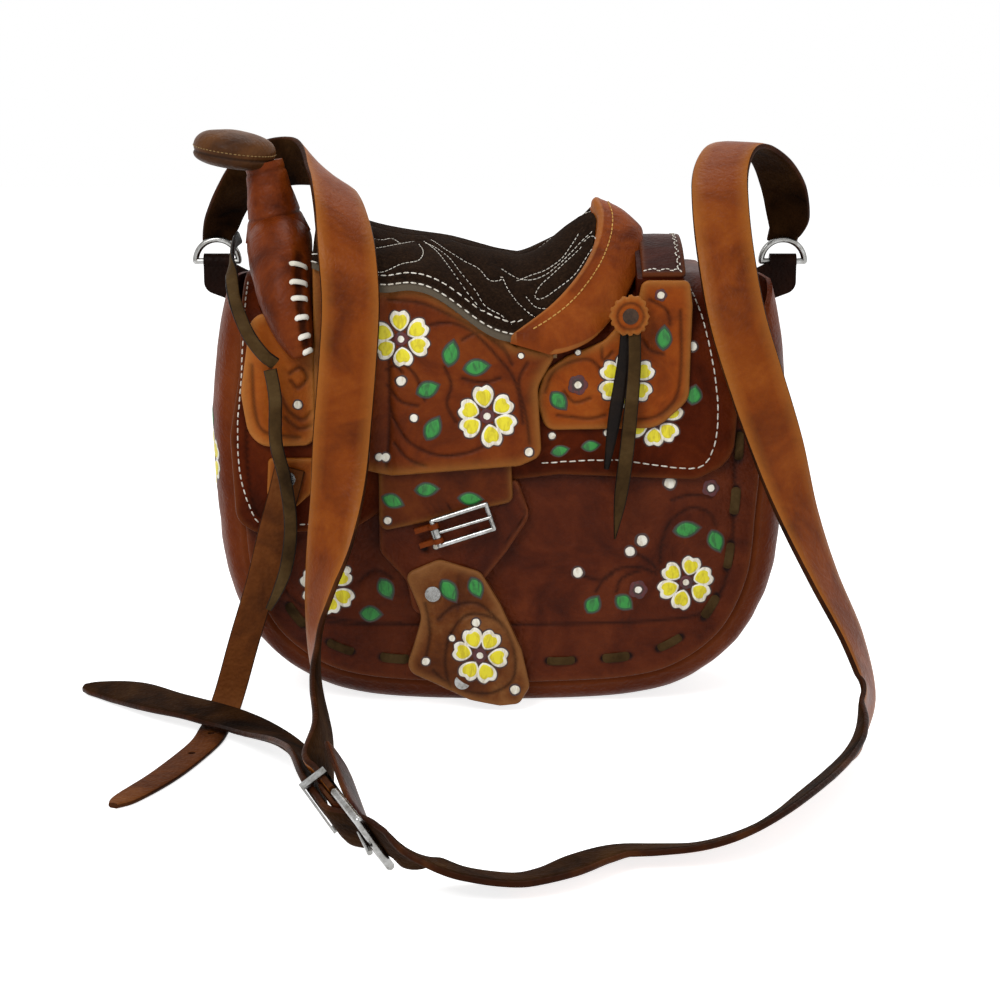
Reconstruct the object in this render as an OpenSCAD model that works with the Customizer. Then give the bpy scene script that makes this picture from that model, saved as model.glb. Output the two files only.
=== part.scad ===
/* [Pouch] */
// Widest width of the pouch, across the bulging gusset
body_w = 272; // [240:1:300]
// Depth of the pouch between the backs of the two panels
body_d = 78.6; // [60:0.1:100]
// Height of the gusset's top edges above the floor
body_h = 196; // [180:1:220]
// How far the panels stand in from the pouch's widest outline
panel_inset = 16; // [12:1:20]
// Width of the gusset's turned-in flange behind each panel
flange_w = 14; // [10:1:18]

/* [Leather] */
// Thickness of every sheet of leather
leather_t = 2.2; // [1.6:0.1:2.6]
// Clearance between layers that move past each other
layer_gap = 0.3; // [0.2:0.05:0.5]
// Spacing of the lacing's stitches along the panel edge
lace_pitch = 26; // [22:1:32]
// Length of one visible lace stitch
lace_len = 12; // [8:1:14]

/* [Saddle] */
// Height of the flap's hinge line above the floor
hinge_z = 200; // [190:1:210]
// Depth of the hinge line behind the middle of the pouch
hinge_y = 46; // [44:0.5:50]
// Thickness of the seat's padding
pad_t = 6; // [4:0.5:8]
// Largest radius of the fork's swell
swell_r = 15; // [12:0.5:16]
// Length of the horn's oval cap
horn_len = 38; // [30:1:42]
// Width of the horn's oval cap
horn_wid = 30; // [24:1:34]
// Thickness of the horn's cap
horn_t = 16.5; // [12:0.5:18]

/* [Strap] */
// Width of the shoulder strap
strap_w = 26; // [22:0.5:28]
// Thickness of the shoulder strap
strap_t = 3.2; // [2.4:0.1:3.6]
// Width of the strap's narrow tail
tail_w = 22; // [16:0.5:24]
// Width of the closing billet
billet_w = 14; // [10:0.5:18]
// Width of the hanging thongs
thong_w = 6; // [4:0.5:8]

/* [Hardware] */
// Radius of the D-ring wire
ring_wire_r = 1.5; // [1.2:0.1:2]
// Radius of the D-ring's bow
ring_bow_r = 10.5; // [9:0.5:12]
// Running clearance of a wire in its leather loop
run_gap = 0.05; // [0.02:0.01:0.1]
// Radius of a rivet head
rivet_r = 3.6; // [2.5:0.1:4.5]

/* [Hidden] */
$fn = 48;

half_w = body_w / 2;
half_d = body_d / 2;
panel_y = -half_d - leather_t;
layer_step = leather_t + layer_gap;
lace_t = 1.4;
thong_t = 1.8;
// Front faces of the layers that hang over the front panel, from the skirt outwards
skirt_y = panel_y - lace_t - 0.4 - leather_t;
jockey_y = skirt_y - layer_step;
fender_y = jockey_y - layer_step;
seat_jockey_y = fender_y - layer_step;

tan_leather = [0.62, 0.33, 0.13];
brown_leather = [0.50, 0.22, 0.10];
mahogany = [0.42, 0.15, 0.08];
dark_leather = [0.27, 0.12, 0.07];
suede = [0.13, 0.08, 0.06];
lace_olive = [0.20, 0.15, 0.08];
ivory = [0.92, 0.90, 0.84];
chrome = [0.80, 0.80, 0.82];

// Catmull-Rom curve through p with n steps in each stretch
function blend_of(a, b, c, d, t) =
    0.5 * (2 * b + (c - a) * t + (2 * a - 5 * b + 4 * c - d) * t * t + (3 * b - a - 3 * c + d) * t * t * t);
function spline(p, n) = [
    for (i = [0:len(p) - 2]) for (j = [0:n - 1])
        blend_of(p[max(i - 1, 0)], p[i], p[i + 1], p[min(i + 2, len(p) - 1)], j / n),
    p[len(p) - 1]];
function mix(a, b, t) = a + (b - a) * t;
function unit(v) = v / max(norm(v), 0.000001);
function tangent(p, i) = unit(p[min(i + 1, len(p) - 1)] - p[max(i - 1, 0)]);
function smooth(t) = let(c = max(0, min(1, t))) c * c * (3 - 2 * c);
// Value at x of a curve given as points [x, value] in rising x
function at_x(p, x) =
    x <= p[0][0] ? p[0][1] :
    x >= p[len(p) - 1][0] ? p[len(p) - 1][1] :
    let(k = max([for (i = [0:len(p) - 2]) if (p[i][0] <= x) i]))
    mix(p[k][1], p[k + 1][1], (x - p[k][0]) / (p[k + 1][0] - p[k][0]));
// Mirror a list of [x, z] points to the other side and join the two
function both_sides(p) = concat(p, [for (i = [len(p) - 1:-1:0]) [-p[i][0], p[i][1]]]);
// Move the points of an open curve sideways, to its left
function inset_of(p, d) = [for (i = [0:len(p) - 1])
    let(t = tangent(p, i)) p[i] + d * [-t[1], t[0]]];
// Round the corners of a polygon whose points are [x, z, radius]
function corner_arc(a, b, c, r) =
    let(u = unit(a - b), v = unit(c - b), half = acos(u * v) / 2,
        back = min(r / tan(half), norm(a - b) * 0.49, norm(c - b) * 0.49), rr = back * tan(half),
        centre = b + unit(u + v) * rr / sin(half), p0 = b + u * back, p1 = b + v * back,
        a0 = atan2(p0[1] - centre[1], p0[0] - centre[0]), a1 = atan2(p1[1] - centre[1], p1[0] - centre[0]),
        turn = a1 - a0 > 180 ? a1 - a0 - 360 : a1 - a0 < -180 ? a1 - a0 + 360 : a1 - a0,
        n = max(2, ceil(abs(turn) / 12)))
    [for (k = [0:n]) centre + rr * [cos(a0 + turn * k / n), sin(a0 + turn * k / n)]];
function rounded(p) = [for (i = [0:len(p) - 1])
    let(a = p[(i + len(p) - 1) % len(p)], b = p[i], c = p[(i + 1) % len(p)])
    each b[2] <= 0 ? [[b[0], b[1]]] : corner_arc([a[0], a[1]], [b[0], b[1]], [c[0], c[1]], b[2])];

// A solid between two grids of points, the first being its upper or outer face
module between(top, bottom) {
    n = len(top);
    m = len(top[0]);
    s = n * m;
    quads = concat(
        [for (i = [0:n - 2]) for (k = [0:m - 2])
            [i * m + k, (i + 1) * m + k, (i + 1) * m + k + 1, i * m + k + 1]],
        [for (i = [0:n - 2]) for (k = [0:m - 2])
            [s + i * m + k, s + i * m + k + 1, s + (i + 1) * m + k + 1, s + (i + 1) * m + k]],
        [for (i = [0:n - 2]) [i * m, s + i * m, s + (i + 1) * m, (i + 1) * m]],
        [for (i = [0:n - 2])
            [i * m + m - 1, (i + 1) * m + m - 1, s + (i + 1) * m + m - 1, s + i * m + m - 1]],
        [for (k = [0:m - 2]) [k, k + 1, s + k + 1, s + k]],
        [for (k = [0:m - 2])
            [s + (n - 1) * m + k, s + (n - 1) * m + k + 1, (n - 1) * m + k + 1, (n - 1) * m + k]]);
    polyhedron(concat([for (r = top) each r], [for (r = bottom) each r]),
        [for (q = quads) each [[q[0], q[1], q[2]], [q[0], q[2], q[3]]]]);
}
// A round bar of changing radius along points [x, y, z], with one radius for each
module bar_along(p, r, sides) {
    n = len(p);
    ring = [for (i = [0:n - 1])
        let(t = tangent(p, i), u = unit(cross(t, [0, 0.02, 1])), v = cross(t, u))
        for (k = [0:sides - 1]) p[i] + r[i] * (cos(360 * k / sides) * u + sin(360 * k / sides) * v)];
    faces = concat(
        [for (i = [0:n - 2]) for (k = [0:sides - 1]) let(j = (k + 1) % sides)
            each [[i * sides + k, (i + 1) * sides + k, (i + 1) * sides + j],
                [i * sides + k, (i + 1) * sides + j, i * sides + j]]],
        [for (k = [1:sides - 2]) [0, k, k + 1]],
        [for (k = [1:sides - 2]) [(n - 1) * sides, (n - 1) * sides + k + 1, (n - 1) * sides + k]]);
    polyhedron(ring, faces);
}
// A flat strip along a route of rows [place, direction across, width]
module strip(route, t, n) {
    p = spline([for (r = route) r[0]], n);
    across = spline([for (r = route) r[1]], n);
    w = spline([for (r = route) [r[2], 0]], n);
    rows = [for (i = [0:len(p) - 1])
        let(d = tangent(p, i), s = unit(across[i] - (across[i] * d) * d), up = cross(s, d))
        [p[i], s * w[i][0] / 2, up * t / 2]];
    between([for (r = rows) [r[0] + r[1] + r[2], r[0] - r[1] + r[2]]],
        [for (r = rows) [r[0] + r[1] - r[2], r[0] - r[1] - r[2]]]);
}
// A flat sheet drawn as [x, z], whose front face stands at depth y
module sheet_at(y, t = leather_t) {
    translate([0, y + t, 0]) rotate([90, 0, 0]) linear_extrude(t) children();
}
// A profile drawn as [y, z], run from x0 to x1
module along_x(x0, x1) {
    translate([x0, 0, 0]) rotate([90, 0, 90]) linear_extrude(x1 - x0) children();
}
// A rivet head or washer whose front face stands at depth y
module button_at(x, y, z, r, t) {
    translate([x, y + t, z]) rotate([90, 0, 0]) cylinder(r = r, h = t);
}

// The pouch: its widest outline from the top left corner round to the top right
side_outline = [[-half_w + 9, body_h + 2], [-half_w + 3, 168], [-half_w, 130], [-half_w + 2, 92],
    [-half_w + 6, 58], [-half_w + 20, 28], [-half_w + 44, 8], [-half_w + 72, -1], [-20, -4]];
pouch_outline = spline(both_sides(side_outline), 4);
// Across the depth: [inset of the outer face, its y, inset of the inner face, its y]
gusset_half = [
    [panel_inset + flange_w, -half_d, panel_inset + flange_w, -half_d + leather_t],
    [panel_inset, -half_d, panel_inset + 1, -half_d + leather_t],
    [panel_inset - 4, -half_d + 1.5, panel_inset - 2.4, -half_d + 3.6],
    [panel_inset - 10, -half_d + 7, panel_inset - 8, -half_d + 8.6],
    [2, -half_d + 19, 2 + leather_t, -half_d + 20],
    [0, 0, leather_t, 0]];
gusset_profile = concat(gusset_half, [for (i = [len(gusset_half) - 2:-1:0])
    [gusset_half[i][0], -gusset_half[i][1], gusset_half[i][2], -gusset_half[i][3]]]);
function gusset_face(col, low) = [for (i = [0:len(pouch_outline) - 1])
    [for (g = gusset_profile)
        let(q = inset_of(pouch_outline, g[col])[i]) [q[0], g[col + 1], max(q[1], low)]]];
panel_outline = inset_of(pouch_outline, panel_inset);
lace_line = inset_of(pouch_outline, panel_inset + 10);

// The flap leather in section: flat over the top, then a long round turn down the front
turn_start_y = -6;
turn_end_z = 165;
turn_rise = hinge_z - turn_end_z;
skirt_mid_y = skirt_y + leather_t / 2;
function turn_curve(out) = [for (a = [0:6:90])
    [turn_start_y - (turn_start_y - skirt_mid_y + out) * sin(a), turn_end_z + (turn_rise + out) * cos(a)]];
module flap_section(out, bottom) {
    polygon(concat([[hinge_y, bottom], [hinge_y, hinge_z + out]], turn_curve(out),
        [[skirt_mid_y - out, bottom]]));
}
// Everything that lies under the outer face of the flap leather
module under_flap(clear = 0) {
    along_x(-170, 170) flap_section(leather_t / 2 + clear, -20);
}

module gusset() {
    color(tan_leather) difference() {
        between(gusset_face(0, 0), gusset_face(2, leather_t));
        difference() {
            translate([-200, -60, 120]) cube([400, 120, 120]);
            along_x(-201, 201) flap_section(-leather_t / 2 - 0.8, 100);
        }
    }
}
module panel_shape() {
    polygon([for (p = panel_outline) p]);
}
module front_panel() {
    color(mahogany) intersection() {
        sheet_at(panel_y) panel_shape();
        translate([-200, -80, 0]) cube([400, 100, turn_end_z - 5]);
    }
}
module back_panel() {
    color(brown_leather) sheet_at(half_d) panel_shape();
}
// Distance along a curve, and the point at a distance along it
function run_length(p) = [for (i = 0, s = 0; i < len(p);
    s = s + (i < len(p) - 1 ? norm(p[i + 1] - p[i]) : 0), i = i + 1) s];
function lace_ends(p, top) = let(s = run_length(p),
    xs = [for (i = [0:len(p) - 1]) [s[i], p[i][0]]],
    zs = [for (i = [0:len(p) - 1]) [s[i], p[i][1]]],
    count = floor((s[len(p) - 1] - lace_pitch) / lace_pitch))
    [for (k = [0:count]) let(a = lace_pitch * (k + 0.6), b = a + lace_len)
        if (max(at_x(zs, a), at_x(zs, b)) < top) [[at_x(xs, a), at_x(zs, a)], [at_x(xs, b), at_x(zs, b)]]];
module lacing(y, top) {
    for (e = lace_ends(lace_line, top)) {
        d = e[1] - e[0];
        translate([e[0][0], y, e[0][1]]) rotate([0, -atan2(d[1], d[0]), 0])
            translate([0, 0, -2.2]) cube([norm(d), lace_t, 4.4]);
    }
}
module front_lacing() {
    color(lace_olive) lacing(panel_y - lace_t, turn_end_z - 8);
}
module back_lacing() {
    color(lace_olive) lacing(half_d + leather_t, body_h - 4);
}
module inner_pocket() {
    color(dark_leather) sheet_at(half_d - leather_t - 1.6, 1.6)
        polygon(rounded([[-60, 60, 10], [60, 60, 10], [60, 150, 4], [-60, 150, 4]]));
}
// The ears that hold the D-rings: a sheet on the back panel, looped round the ring's straight bar
ring_x = 138;
tab_w = 13;
tab_y = half_d + leather_t + lace_t + 0.2;
module ring_tab(side) {
    lug_r = ring_wire_r + run_gap + leather_t;
    color(brown_leather) mirror([side > 0 ? 1 : 0, 0, 0]) difference() {
        union() {
            sheet_at(tab_y) polygon(rounded([[-ring_x - tab_w / 2, hinge_z, 0],
                [-ring_x + tab_w / 2, hinge_z, 0], [-96, 182, 5], [-96, 168, 8],
                [-ring_x - tab_w / 2, 186, 6]]));
            translate([-ring_x - tab_w / 2, hinge_y, hinge_z]) rotate([0, 90, 0])
                cylinder(r = lug_r, h = tab_w);
        }
        translate([-ring_x - tab_w, hinge_y, hinge_z]) rotate([0, 90, 0])
            cylinder(r = ring_wire_r + run_gap, h = 2 * tab_w);
    }
}
module ring_tab_left() ring_tab(-1);
module ring_tab_right() ring_tab(1);
module tab_rivets() {
    color(chrome) for (side = [-1, 1])
        button_at(side * 104, tab_y + leather_t, 176, rivet_r, 1.4);
}

// The flap leather: its front outline, drawn as [x, z]
skirt_edge = rounded([[-118, 215, 0], [-118, 162, 20], [-123.5, 130, 30], [-121.5, 90, 10], [-112, 84, 10],
    [-68, 86, 20], [-40, 104, 20], [27, 112, 20], [90, 109.5, 12], [107, 118, 16], [109, 150, 40],
    [96, 196, 20], [96, 215, 0]]);
module skirt() {
    color(dark_leather) intersection() {
        difference() {
            along_x(-130, 120) flap_section(leather_t / 2, 60);
            along_x(-131, 121) flap_section(-leather_t / 2, 59);
        }
        sheet_at(skirt_y - 1, hinge_y - skirt_y + 1) polygon(skirt_edge);
        translate([-150, -70, 60]) cube([300, 70 + hinge_y, 200]);
    }
    color(dark_leather) translate([-118, hinge_y, hinge_z]) rotate([0, 90, 0])
        cylinder(r = leather_t / 2, h = 214);
}

// The seat's upper face over the plan: x runs along the saddle, y across it
ridge_line = spline([[-92, 236], [-82, 232], [-58, 223], [-23, 217], [9, 209.5], [21, 212]], 6);
rim_line = [[-56, 7, 178.5], [-50, 25, 191.5], [-38, 38, 205], [-25, 45, 217], [-12, 47, 228], [0, 44.5, 234],
    [12, 48, 230], [25, 50, 221], [36, 49, 212]];
seat_front_y = -55.5;
seat_back_y = 36;
seat_left_x = -84;
trough_x = 8;
function rim_x(y) = at_x([for (r = rim_line) [r[0], r[1]]], y);
function rim_z(y) = at_x([for (r = rim_line) [r[0], r[2]]], y);
function side_drop(x, y) =
    y < 0 ? (mix(14.5, 28, smooth((x + 37) / 38)) + 3 * smooth((-39 - x) / 15)) * pow(-y / 55, 2.2)
          : 5 * pow(y / 36, 2);
function saddle_z(x, y) =
    let(low = at_x(ridge_line, min(x, trough_x)) - side_drop(x, y))
    x <= trough_x ? low :
    mix(at_x(ridge_line, trough_x) - side_drop(trough_x, y), rim_z(y),
        pow((x - trough_x) / (rim_x(y) - trough_x), 1.3));
// Padding: full in the middle, drawn in at the edges and along the sewn channels
function pad_puff(u, v) =
    let(edge = 1 - pow(abs(2 * v - 1), 6), ends = 1 - pow(max(0, 1 - 2 * u), 10),
        channel = exp(-pow((v - 0.1) / 0.03, 2)) + 0.6 * exp(-pow((v - 0.62) / 0.04, 2)))
    2.4 + (pad_t - 2.4) * edge * ends - 1.1 * channel;
pad_rows = 24;
pad_cols = 26;
function pad_point(i, k, lift) =
    let(v = i / pad_rows, u = k / pad_cols, y = mix(seat_front_y, seat_back_y, v),
        x = mix(seat_left_x, rim_x(y) - 2.5, u)) [x, y, saddle_z(x, y) - lift - 1];
module seat_pad() {
    color(suede) difference() {
        between(
            [for (i = [0:pad_rows])
                [for (k = [0:pad_cols]) pad_point(i, k, pad_t - pad_puff(k / pad_cols, i / pad_rows))]],
            [for (i = [0:pad_rows]) [for (k = [0:pad_cols]) pad_point(i, k, pad_t)]]);
        under_flap(0.01);
    }
}
tree_rows = 14;
tree_cols = 18;
function tree_point(i, k, floor_z) =
    let(y = mix(jockey_y + leather_t, seat_back_y - 1, i / tree_rows),
        x = mix(seat_left_x + 2, rim_x(y) - 4, k / tree_cols))
    [x, y, floor_z > 0 ? floor_z : saddle_z(x, y) - pad_t - 2.1];
module saddle_tree() {
    color([0.70, 0.58, 0.40]) difference() {
        between([for (i = [0:tree_rows]) [for (k = [0:tree_cols]) tree_point(i, k, 0)]],
            [for (i = [0:tree_rows]) [for (k = [0:tree_cols]) tree_point(i, k, 150)]]);
        under_flap(0.01);
        translate([-100, -70, 100]) cube([200, 70 + jockey_y + 2 * leather_t, 66]);
    }
}

// The saddle's side leathers, drawn as [x, z, corner radius]
module seat_jockey() {
    color(brown_leather) sheet_at(seat_jockey_y) polygon(concat(
        [for (x = [-84:12:0]) [x, saddle_z(x, seat_jockey_y) - pad_t - 1.6]],
        rounded([[8, 173, 3], [17, 170.5, 6], [26, 170, 3], [17, 154, 12], [19, 122, 6], [9, 117.5, 6],
            [-50, 112.8, 8], [-84, 121, 0]])));
}
module front_jockey() {
    color(tan_leather) sheet_at(jockey_y) polygon(rounded([[-112, 190, 8], [-118, 150, 20], [-114, 125, 12],
        [-84, 126, 6], [-84, 178, 6]]));
}
module rear_jockey() {
    color(brown_leather) difference() {
        sheet_at(jockey_y) polygon(rounded([[30, 167, 6], [20, 160, 10], [16, 147, 14], [21, 133, 6],
            [72, 134, 16], [86, 147, 10], [87, 190, 10], [85.5, 201.5, 3], [62, 201.5, 4], [59, 190, 10],
            [46, 175, 10]]));
        cantle_block(0.06);
    }
}

// Section over the back of the saddle, from front to rear, under the rear plate
rear_crown = spline([[jockey_y + leather_t, 202], [-24, 211.5], [0, 215.5], [24, 211], [40, 202]], 3);
module cantle_core() {
    color([0.70, 0.58, 0.40]) difference() {
        along_x(62, 83) polygon(concat([for (p = rear_crown) p], [[40, 190], [jockey_y + leather_t, 150]]));
        under_flap(0.01);
        cantle_block(0.3);
        translate([40, -70, 100]) cube([60, 70 + jockey_y + 2 * leather_t, 66]);
    }
}
module rear_plate() {
    color(dark_leather) difference() {
        along_x(62, 84) polygon(concat([for (p = rear_crown) p], [for (i = [len(rear_crown) - 1:-1:0])
            rear_crown[i] + leather_t * unit([rear_crown[i][0] + 4, 55])]));
        cantle_block(0.3);
    }
}
// The cantle: a leather band whose upper rim borders the seat, seen from outside the dish
band_base = [[-57, 13, 173], [-56, 28, 173], [-50, 44, 179], [-38, 57, 193], [-22, 65, 209], [-8, 66.5, 219],
    [0, 66, 221], [12, 66, 219], [24, 65, 213], [36, 60, 205]];
function base_x(y) = at_x([for (b = band_base) [b[0], b[1]]], y);
function base_z(y) = at_x([for (b = band_base) [b[0], b[2]]], y);
band_y = [for (k = [0:16]) -56 + k * (seat_back_y + 56) / 16];
function band_section(y, grow) = let(r = [rim_x(y), rim_z(y)], b = [base_x(y), base_z(y)],
    out = unit([b[1] - r[1] - 4, r[0] - b[0] - 2]), mid = (r + b) / 2 - 2.5 * out)
    [[r[0] - 2.2 - grow, r[1] - 3.5 - grow], [r[0] - 1, r[1] + 0.4 + grow],
        [r[0] + 1.5 + grow, r[1] + 0.6 + grow], [mid[0] + grow, mid[1] + grow],
        [b[0] + grow, b[1] + grow], [b[0] - 1.5 + grow, b[1] - 3]];
module cantle_block(grow) {
    between([for (y = band_y) [for (s = band_section(y, grow)) [s[0], y, s[1]]]],
        [for (y = band_y) let(s = band_section(y, 0), a = s[0], z = s[len(s) - 1])
            [for (k = [0:len(s) - 1]) let(q = mix(a, z, k / (len(s) - 1))) [q[0] - 0.5, y, q[1] - 0.6]]]);
}
module cantle_band() {
    color(tan_leather) difference() {
        cantle_block(0);
        under_flap(0.01);
    }
}

// The fork: a padded swell from the front, over the top and down behind
fork_path = spline([[-88.3, -55.5, 168], [-92, -54, 177], [-96, -48.5, 190], [-98.8, -38, 204],
    [-101, -24, 213], [-102.5, -6, 214.5], [-103.5, 14, 212], [-103.5, 32, 206.5]], 3);
fork_radius = [for (i = [0:len(fork_path) - 1]) let(u = i / (len(fork_path) - 1))
    swell_r * (0.28 + 0.72 * sin(90 * min(1, u / 0.6))) * (1 - 0.45 * smooth((u - 0.72) / 0.28))];
module fork_solid(shrink, cut) {
    last = len(fork_path) - 1 - cut;
    bar_along([for (i = [cut:last]) fork_path[i]], [for (i = [cut:last]) fork_radius[i] - shrink], 16);
}
module fork_cover() {
    color(mahogany) difference() {
        fork_solid(0, 0);
        fork_solid(leather_t, 2);
        under_flap(0.01);
        behind_front_jockey();
        horn_neck_solid(0.1);
    }
}
module fork_core() {
    color([0.70, 0.58, 0.40]) difference() {
        intersection() {
            fork_solid(leather_t + 0.05, 2);
            translate([-140, -52, 150]) cube([60, 84, 100]);
        }
        under_flap(0.01);
        behind_front_jockey();
        horn_post_solid(0.02);
        horn_neck_solid(0.1);
    }
}
module behind_front_jockey() {
    translate([-130, jockey_y - 0.02, 100]) cube([60, 80, 90.2]);
}
// Six lace bars over the seam on the front of the swell
module fork_lacing() {
    seam_face = [0.65, -0.8, 0.25];
    color(ivory) for (k = [0:5]) {
        i = 1 + round(k * 1.45);
        bar_len = 4.5 + k;
        p = fork_path[i];
        r = fork_radius[i];
        t = tangent(fork_path, i);
        n = unit(seam_face - (seam_face * t) * t);
        s = cross(t, n);
        q = p + (r + 0.5) * n;
        multmatrix([[s[0], t[0], n[0], q[0]], [s[1], t[1], n[1], q[1]], [s[2], t[2], n[2], q[2]],
            [0, 0, 0, 1]]) translate([-bar_len / 2, -0.9, -0.5]) cube([bar_len, 1.8, 1]);
    }
}
horn_foot = [-102.5, -13, 220];
horn_top = [-108.5, -12, 250.5];
neck_foot_r = 12.2;
neck_top_r = 8.4;
cap_at = [-122, -12, 258];
module horn_neck_solid(grow) {
    hull() {
        translate(horn_foot) cylinder(r = neck_foot_r + grow, h = 1, $fn = 28);
        translate(horn_top) rotate([0, -12, 0]) cylinder(r = neck_top_r + grow, h = 1, $fn = 28);
    }
}
module horn_post_solid(grow) {
    translate([-106, -10, 205]) cylinder(r = 3.5 + grow, h = 48 + grow);
}
module horn_post() {
    color(chrome) horn_post_solid(0);
}
module horn_neck_cover() {
    color(mahogany) difference() {
        horn_neck_solid(0);
        horn_post_solid(0.02);
        cap_solid(0.02);
    }
}
// The oval cap: a lens with a rounded rim, longer towards the left
module cap_solid(grow) {
    translate(cap_at) rotate([4, 8, 0]) hull() {
        for (lay = [[-0.5, 0.72], [-0.36, 0.92], [-0.1, 1], [0.15, 0.97], [0.36, 0.8], [0.5, 0.45]])
            translate([0, 0, lay[0] * horn_t]) scale([1, horn_wid / horn_len, 1])
                cylinder(r = horn_len / 2 * lay[1] + grow, h = 0.2, $fn = 32);
    }
}
module horn_cap() {
    color(mahogany) difference() {
        cap_solid(0);
        horn_post_solid(0.02);
    }
}

// Thong that loops round the fork's outer side, fixed under the jockey
module front_thong_loop() {
    color(lace_olive) strip([
        [[-122.4, 2, 216], [0, 1, 0.2], thong_w], [[-123, -16, 214], [0, 0.6, 0.8], thong_w],
        [[-122.2, -34, 206], [0, 0.8, 0.6], thong_w], [[-119.5, -50.5, 194], [0.2, 0.8, 0.6], thong_w],
        [[-113, -60.5, 180], [0.9, 0, 0.4], thong_w], [[-106, -61, 170], [0.8, 0, 0.5], thong_w],
        [[-101, -58.5, 165.5], [0.8, 0, 0.5], thong_w]], thong_t, 4);
}
// The thong that hangs below the loop's end
module front_thong() {
    color(lace_olive) {
        strip([[[-103, -60.6, 163], [1, 0, 0.1], thong_w], [[-101, -60.8, 150], [1, 0, 0], thong_w],
            [[-101, -61, 130], [1, 0, 0.1], thong_w], [[-97, -61.5, 112], [1, 0, 0.1], thong_w],
            [[-95, -61.5, 92], [1, 0, 0], thong_w], [[-97, -61.5, 74], [1, 0, -0.2], thong_w],
            [[-101, -61, 62], [1, 0, -0.4], thong_w - 1],
            [[-106, -60, 52], [1, 0, -0.5], thong_w - 3]], thong_t, 3);
    }
}

// The closing billet: a riveted tab and the long strap that hangs to the floor
module billet_tab() {
    color(tan_leather) sheet_at(jockey_y) polygon(rounded([[-106, 120, 2], [-84, 120, 2], [-86, 104, 4],
        [-95, 96, 5], [-107, 102, 4]]));
}
module billet_rivet() {
    color(chrome) button_at(-97, jockey_y - leather_t - 2.1, 111, rivet_r, 1.5);
}
module billet_strap() {
    color(brown_leather) difference() {
        strip([[[-96, jockey_y - 1.5, 116], [1, 0, 0], billet_w],
            [[-99, jockey_y - 1.6, 104], [1, 0, 0], billet_w], [[-104, -51.5, 86], [1, 0, -0.2], billet_w],
            [[-110, -53.5, 62], [1, 0, -0.2], billet_w],
            [[-118, -54, 36], [1, 0, -0.2], billet_w], [[-124, -54, 15], [1, 0, -0.2], billet_w],
            [[-127, -56, 5.5], [1, 0.1, -0.1], billet_w], [[-128.5, -62, 1.6], [1, 0, 0], billet_w],
            [[-129.5, -80, 1.2], [1, 0, 0], billet_w], [[-132, -105, 1.2], [1, -0.1, 0], billet_w],
            [[-143, -146, 1.2], [1, -0.3, 0], billet_w], [[-155, -176, 1.2], [1, -0.4, 0], billet_w * 0.85],
            [[-159, -185, 1.2], [1, -0.4, 0], billet_w * 0.35]], leather_t, 3);
        for (p = [[-130, -90], [-135, -119]]) translate([p[0], p[1], -5]) cylinder(r = 1.6, h = 12);
    }
}

// The rosette, its rivet and the pair of thongs that hang from it
rosette_at = [58.5, 0, 186.5];
thong_y = jockey_y - 3.4;
pin_r = 1.2;
module rosette_bore(r) {
    translate(rosette_at) rotate([90, 0, 0]) cylinder(r = r, h = 80);
}
module rosette() {
    color(dark_leather) difference() {
        button_at(rosette_at[0], jockey_y - 3, rosette_at[2], 11, 3);
        rosette_bore(pin_r + run_gap);
    }
}
module rear_thongs() {
    color(lace_olive) difference() {
        union() {
            strip([for (r = [[57.5, 1, 192, 1], [56.5, 1, 170, 1], [52, 1.2, 140, 1], [48.5, 1, 116, 0.5]])
                [[r[0], thong_y - r[1], r[2]], [1, 0, 0], thong_w * r[3]]], thong_t, 3);
            strip([for (r = [[59.5, 3.2, 192, 1], [60.5, 3.4, 165, 1], [58, 3.6, 130, 1], [55, 3.6, 104, 1],
                [52.5, 3.6, 84, 0.3]])
                [[r[0], thong_y - r[1], r[2]], [1, 0, 0], thong_w * r[3]]], thong_t, 3);
        }
        rosette_bore(pin_r);
    }
}
module rosette_rivet() {
    color(chrome) {
        button_at(rosette_at[0], thong_y - 6, rosette_at[2], rivet_r, 1.7);
        button_at(rosette_at[0], thong_y - 4.5, rosette_at[2], pin_r, jockey_y + 0.5 - thong_y + 4.0);
    }
}

// The fender: an upper leather, a lower leather and the buckle between them
module fender_upper() {
    color(brown_leather) sheet_at(fender_y) polygon(rounded([[-55.5, 111.2, 0], [5, 111.2, 0], [6, 100, 4],
        [-10, 96.5, 8], [-32, 91, 8], [-55.5, 86, 4]]));
}
module fender_lower() {
    color(mahogany) difference() {
        sheet_at(jockey_y) polygon(rounded([[-55.5, 110, 0], [8, 110, 4], [14, 93, 8], [3, 76, 10],
            [-8, 62, 4], [-14, 46, 6], [-40, 46, 6], [-43, 62, 8], [-55.5, 76, 8]]));
        translate([-31, 0, 57]) rotate([90, 0, 0]) cylinder(r = 1.55, h = 80);
        translate([-35, 0, 78]) rotate([90, 0, 0]) cylinder(r = 1.6, h = 80);
    }
}
// A small frame buckle, lying in the plane of the fender and tipped with it
buckle_at = [-17, 90];
buckle_tilt = 18;
wire_r = 1.2;
module frame_buckle(w, h, r) {
    for (s = [-1, 1]) {
        translate([-w / 2, 0, s * h / 2]) rotate([0, 90, 0]) cylinder(r = r, h = w);
        translate([s * w / 2, 0, -h / 2]) cylinder(r = r, h = h);
    }
    for (sx = [-1, 1]) for (sz = [-1, 1]) translate([sx * w / 2, 0, sz * h / 2]) sphere(r = r);
}
module on_fender() {
    translate([buckle_at[0], fender_y - wire_r - 1.3, buckle_at[1]]) rotate([0, -buckle_tilt, 0]) children();
}
module fender_buckle() {
    color(chrome) on_fender() frame_buckle(26, 12, wire_r);
}
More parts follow.
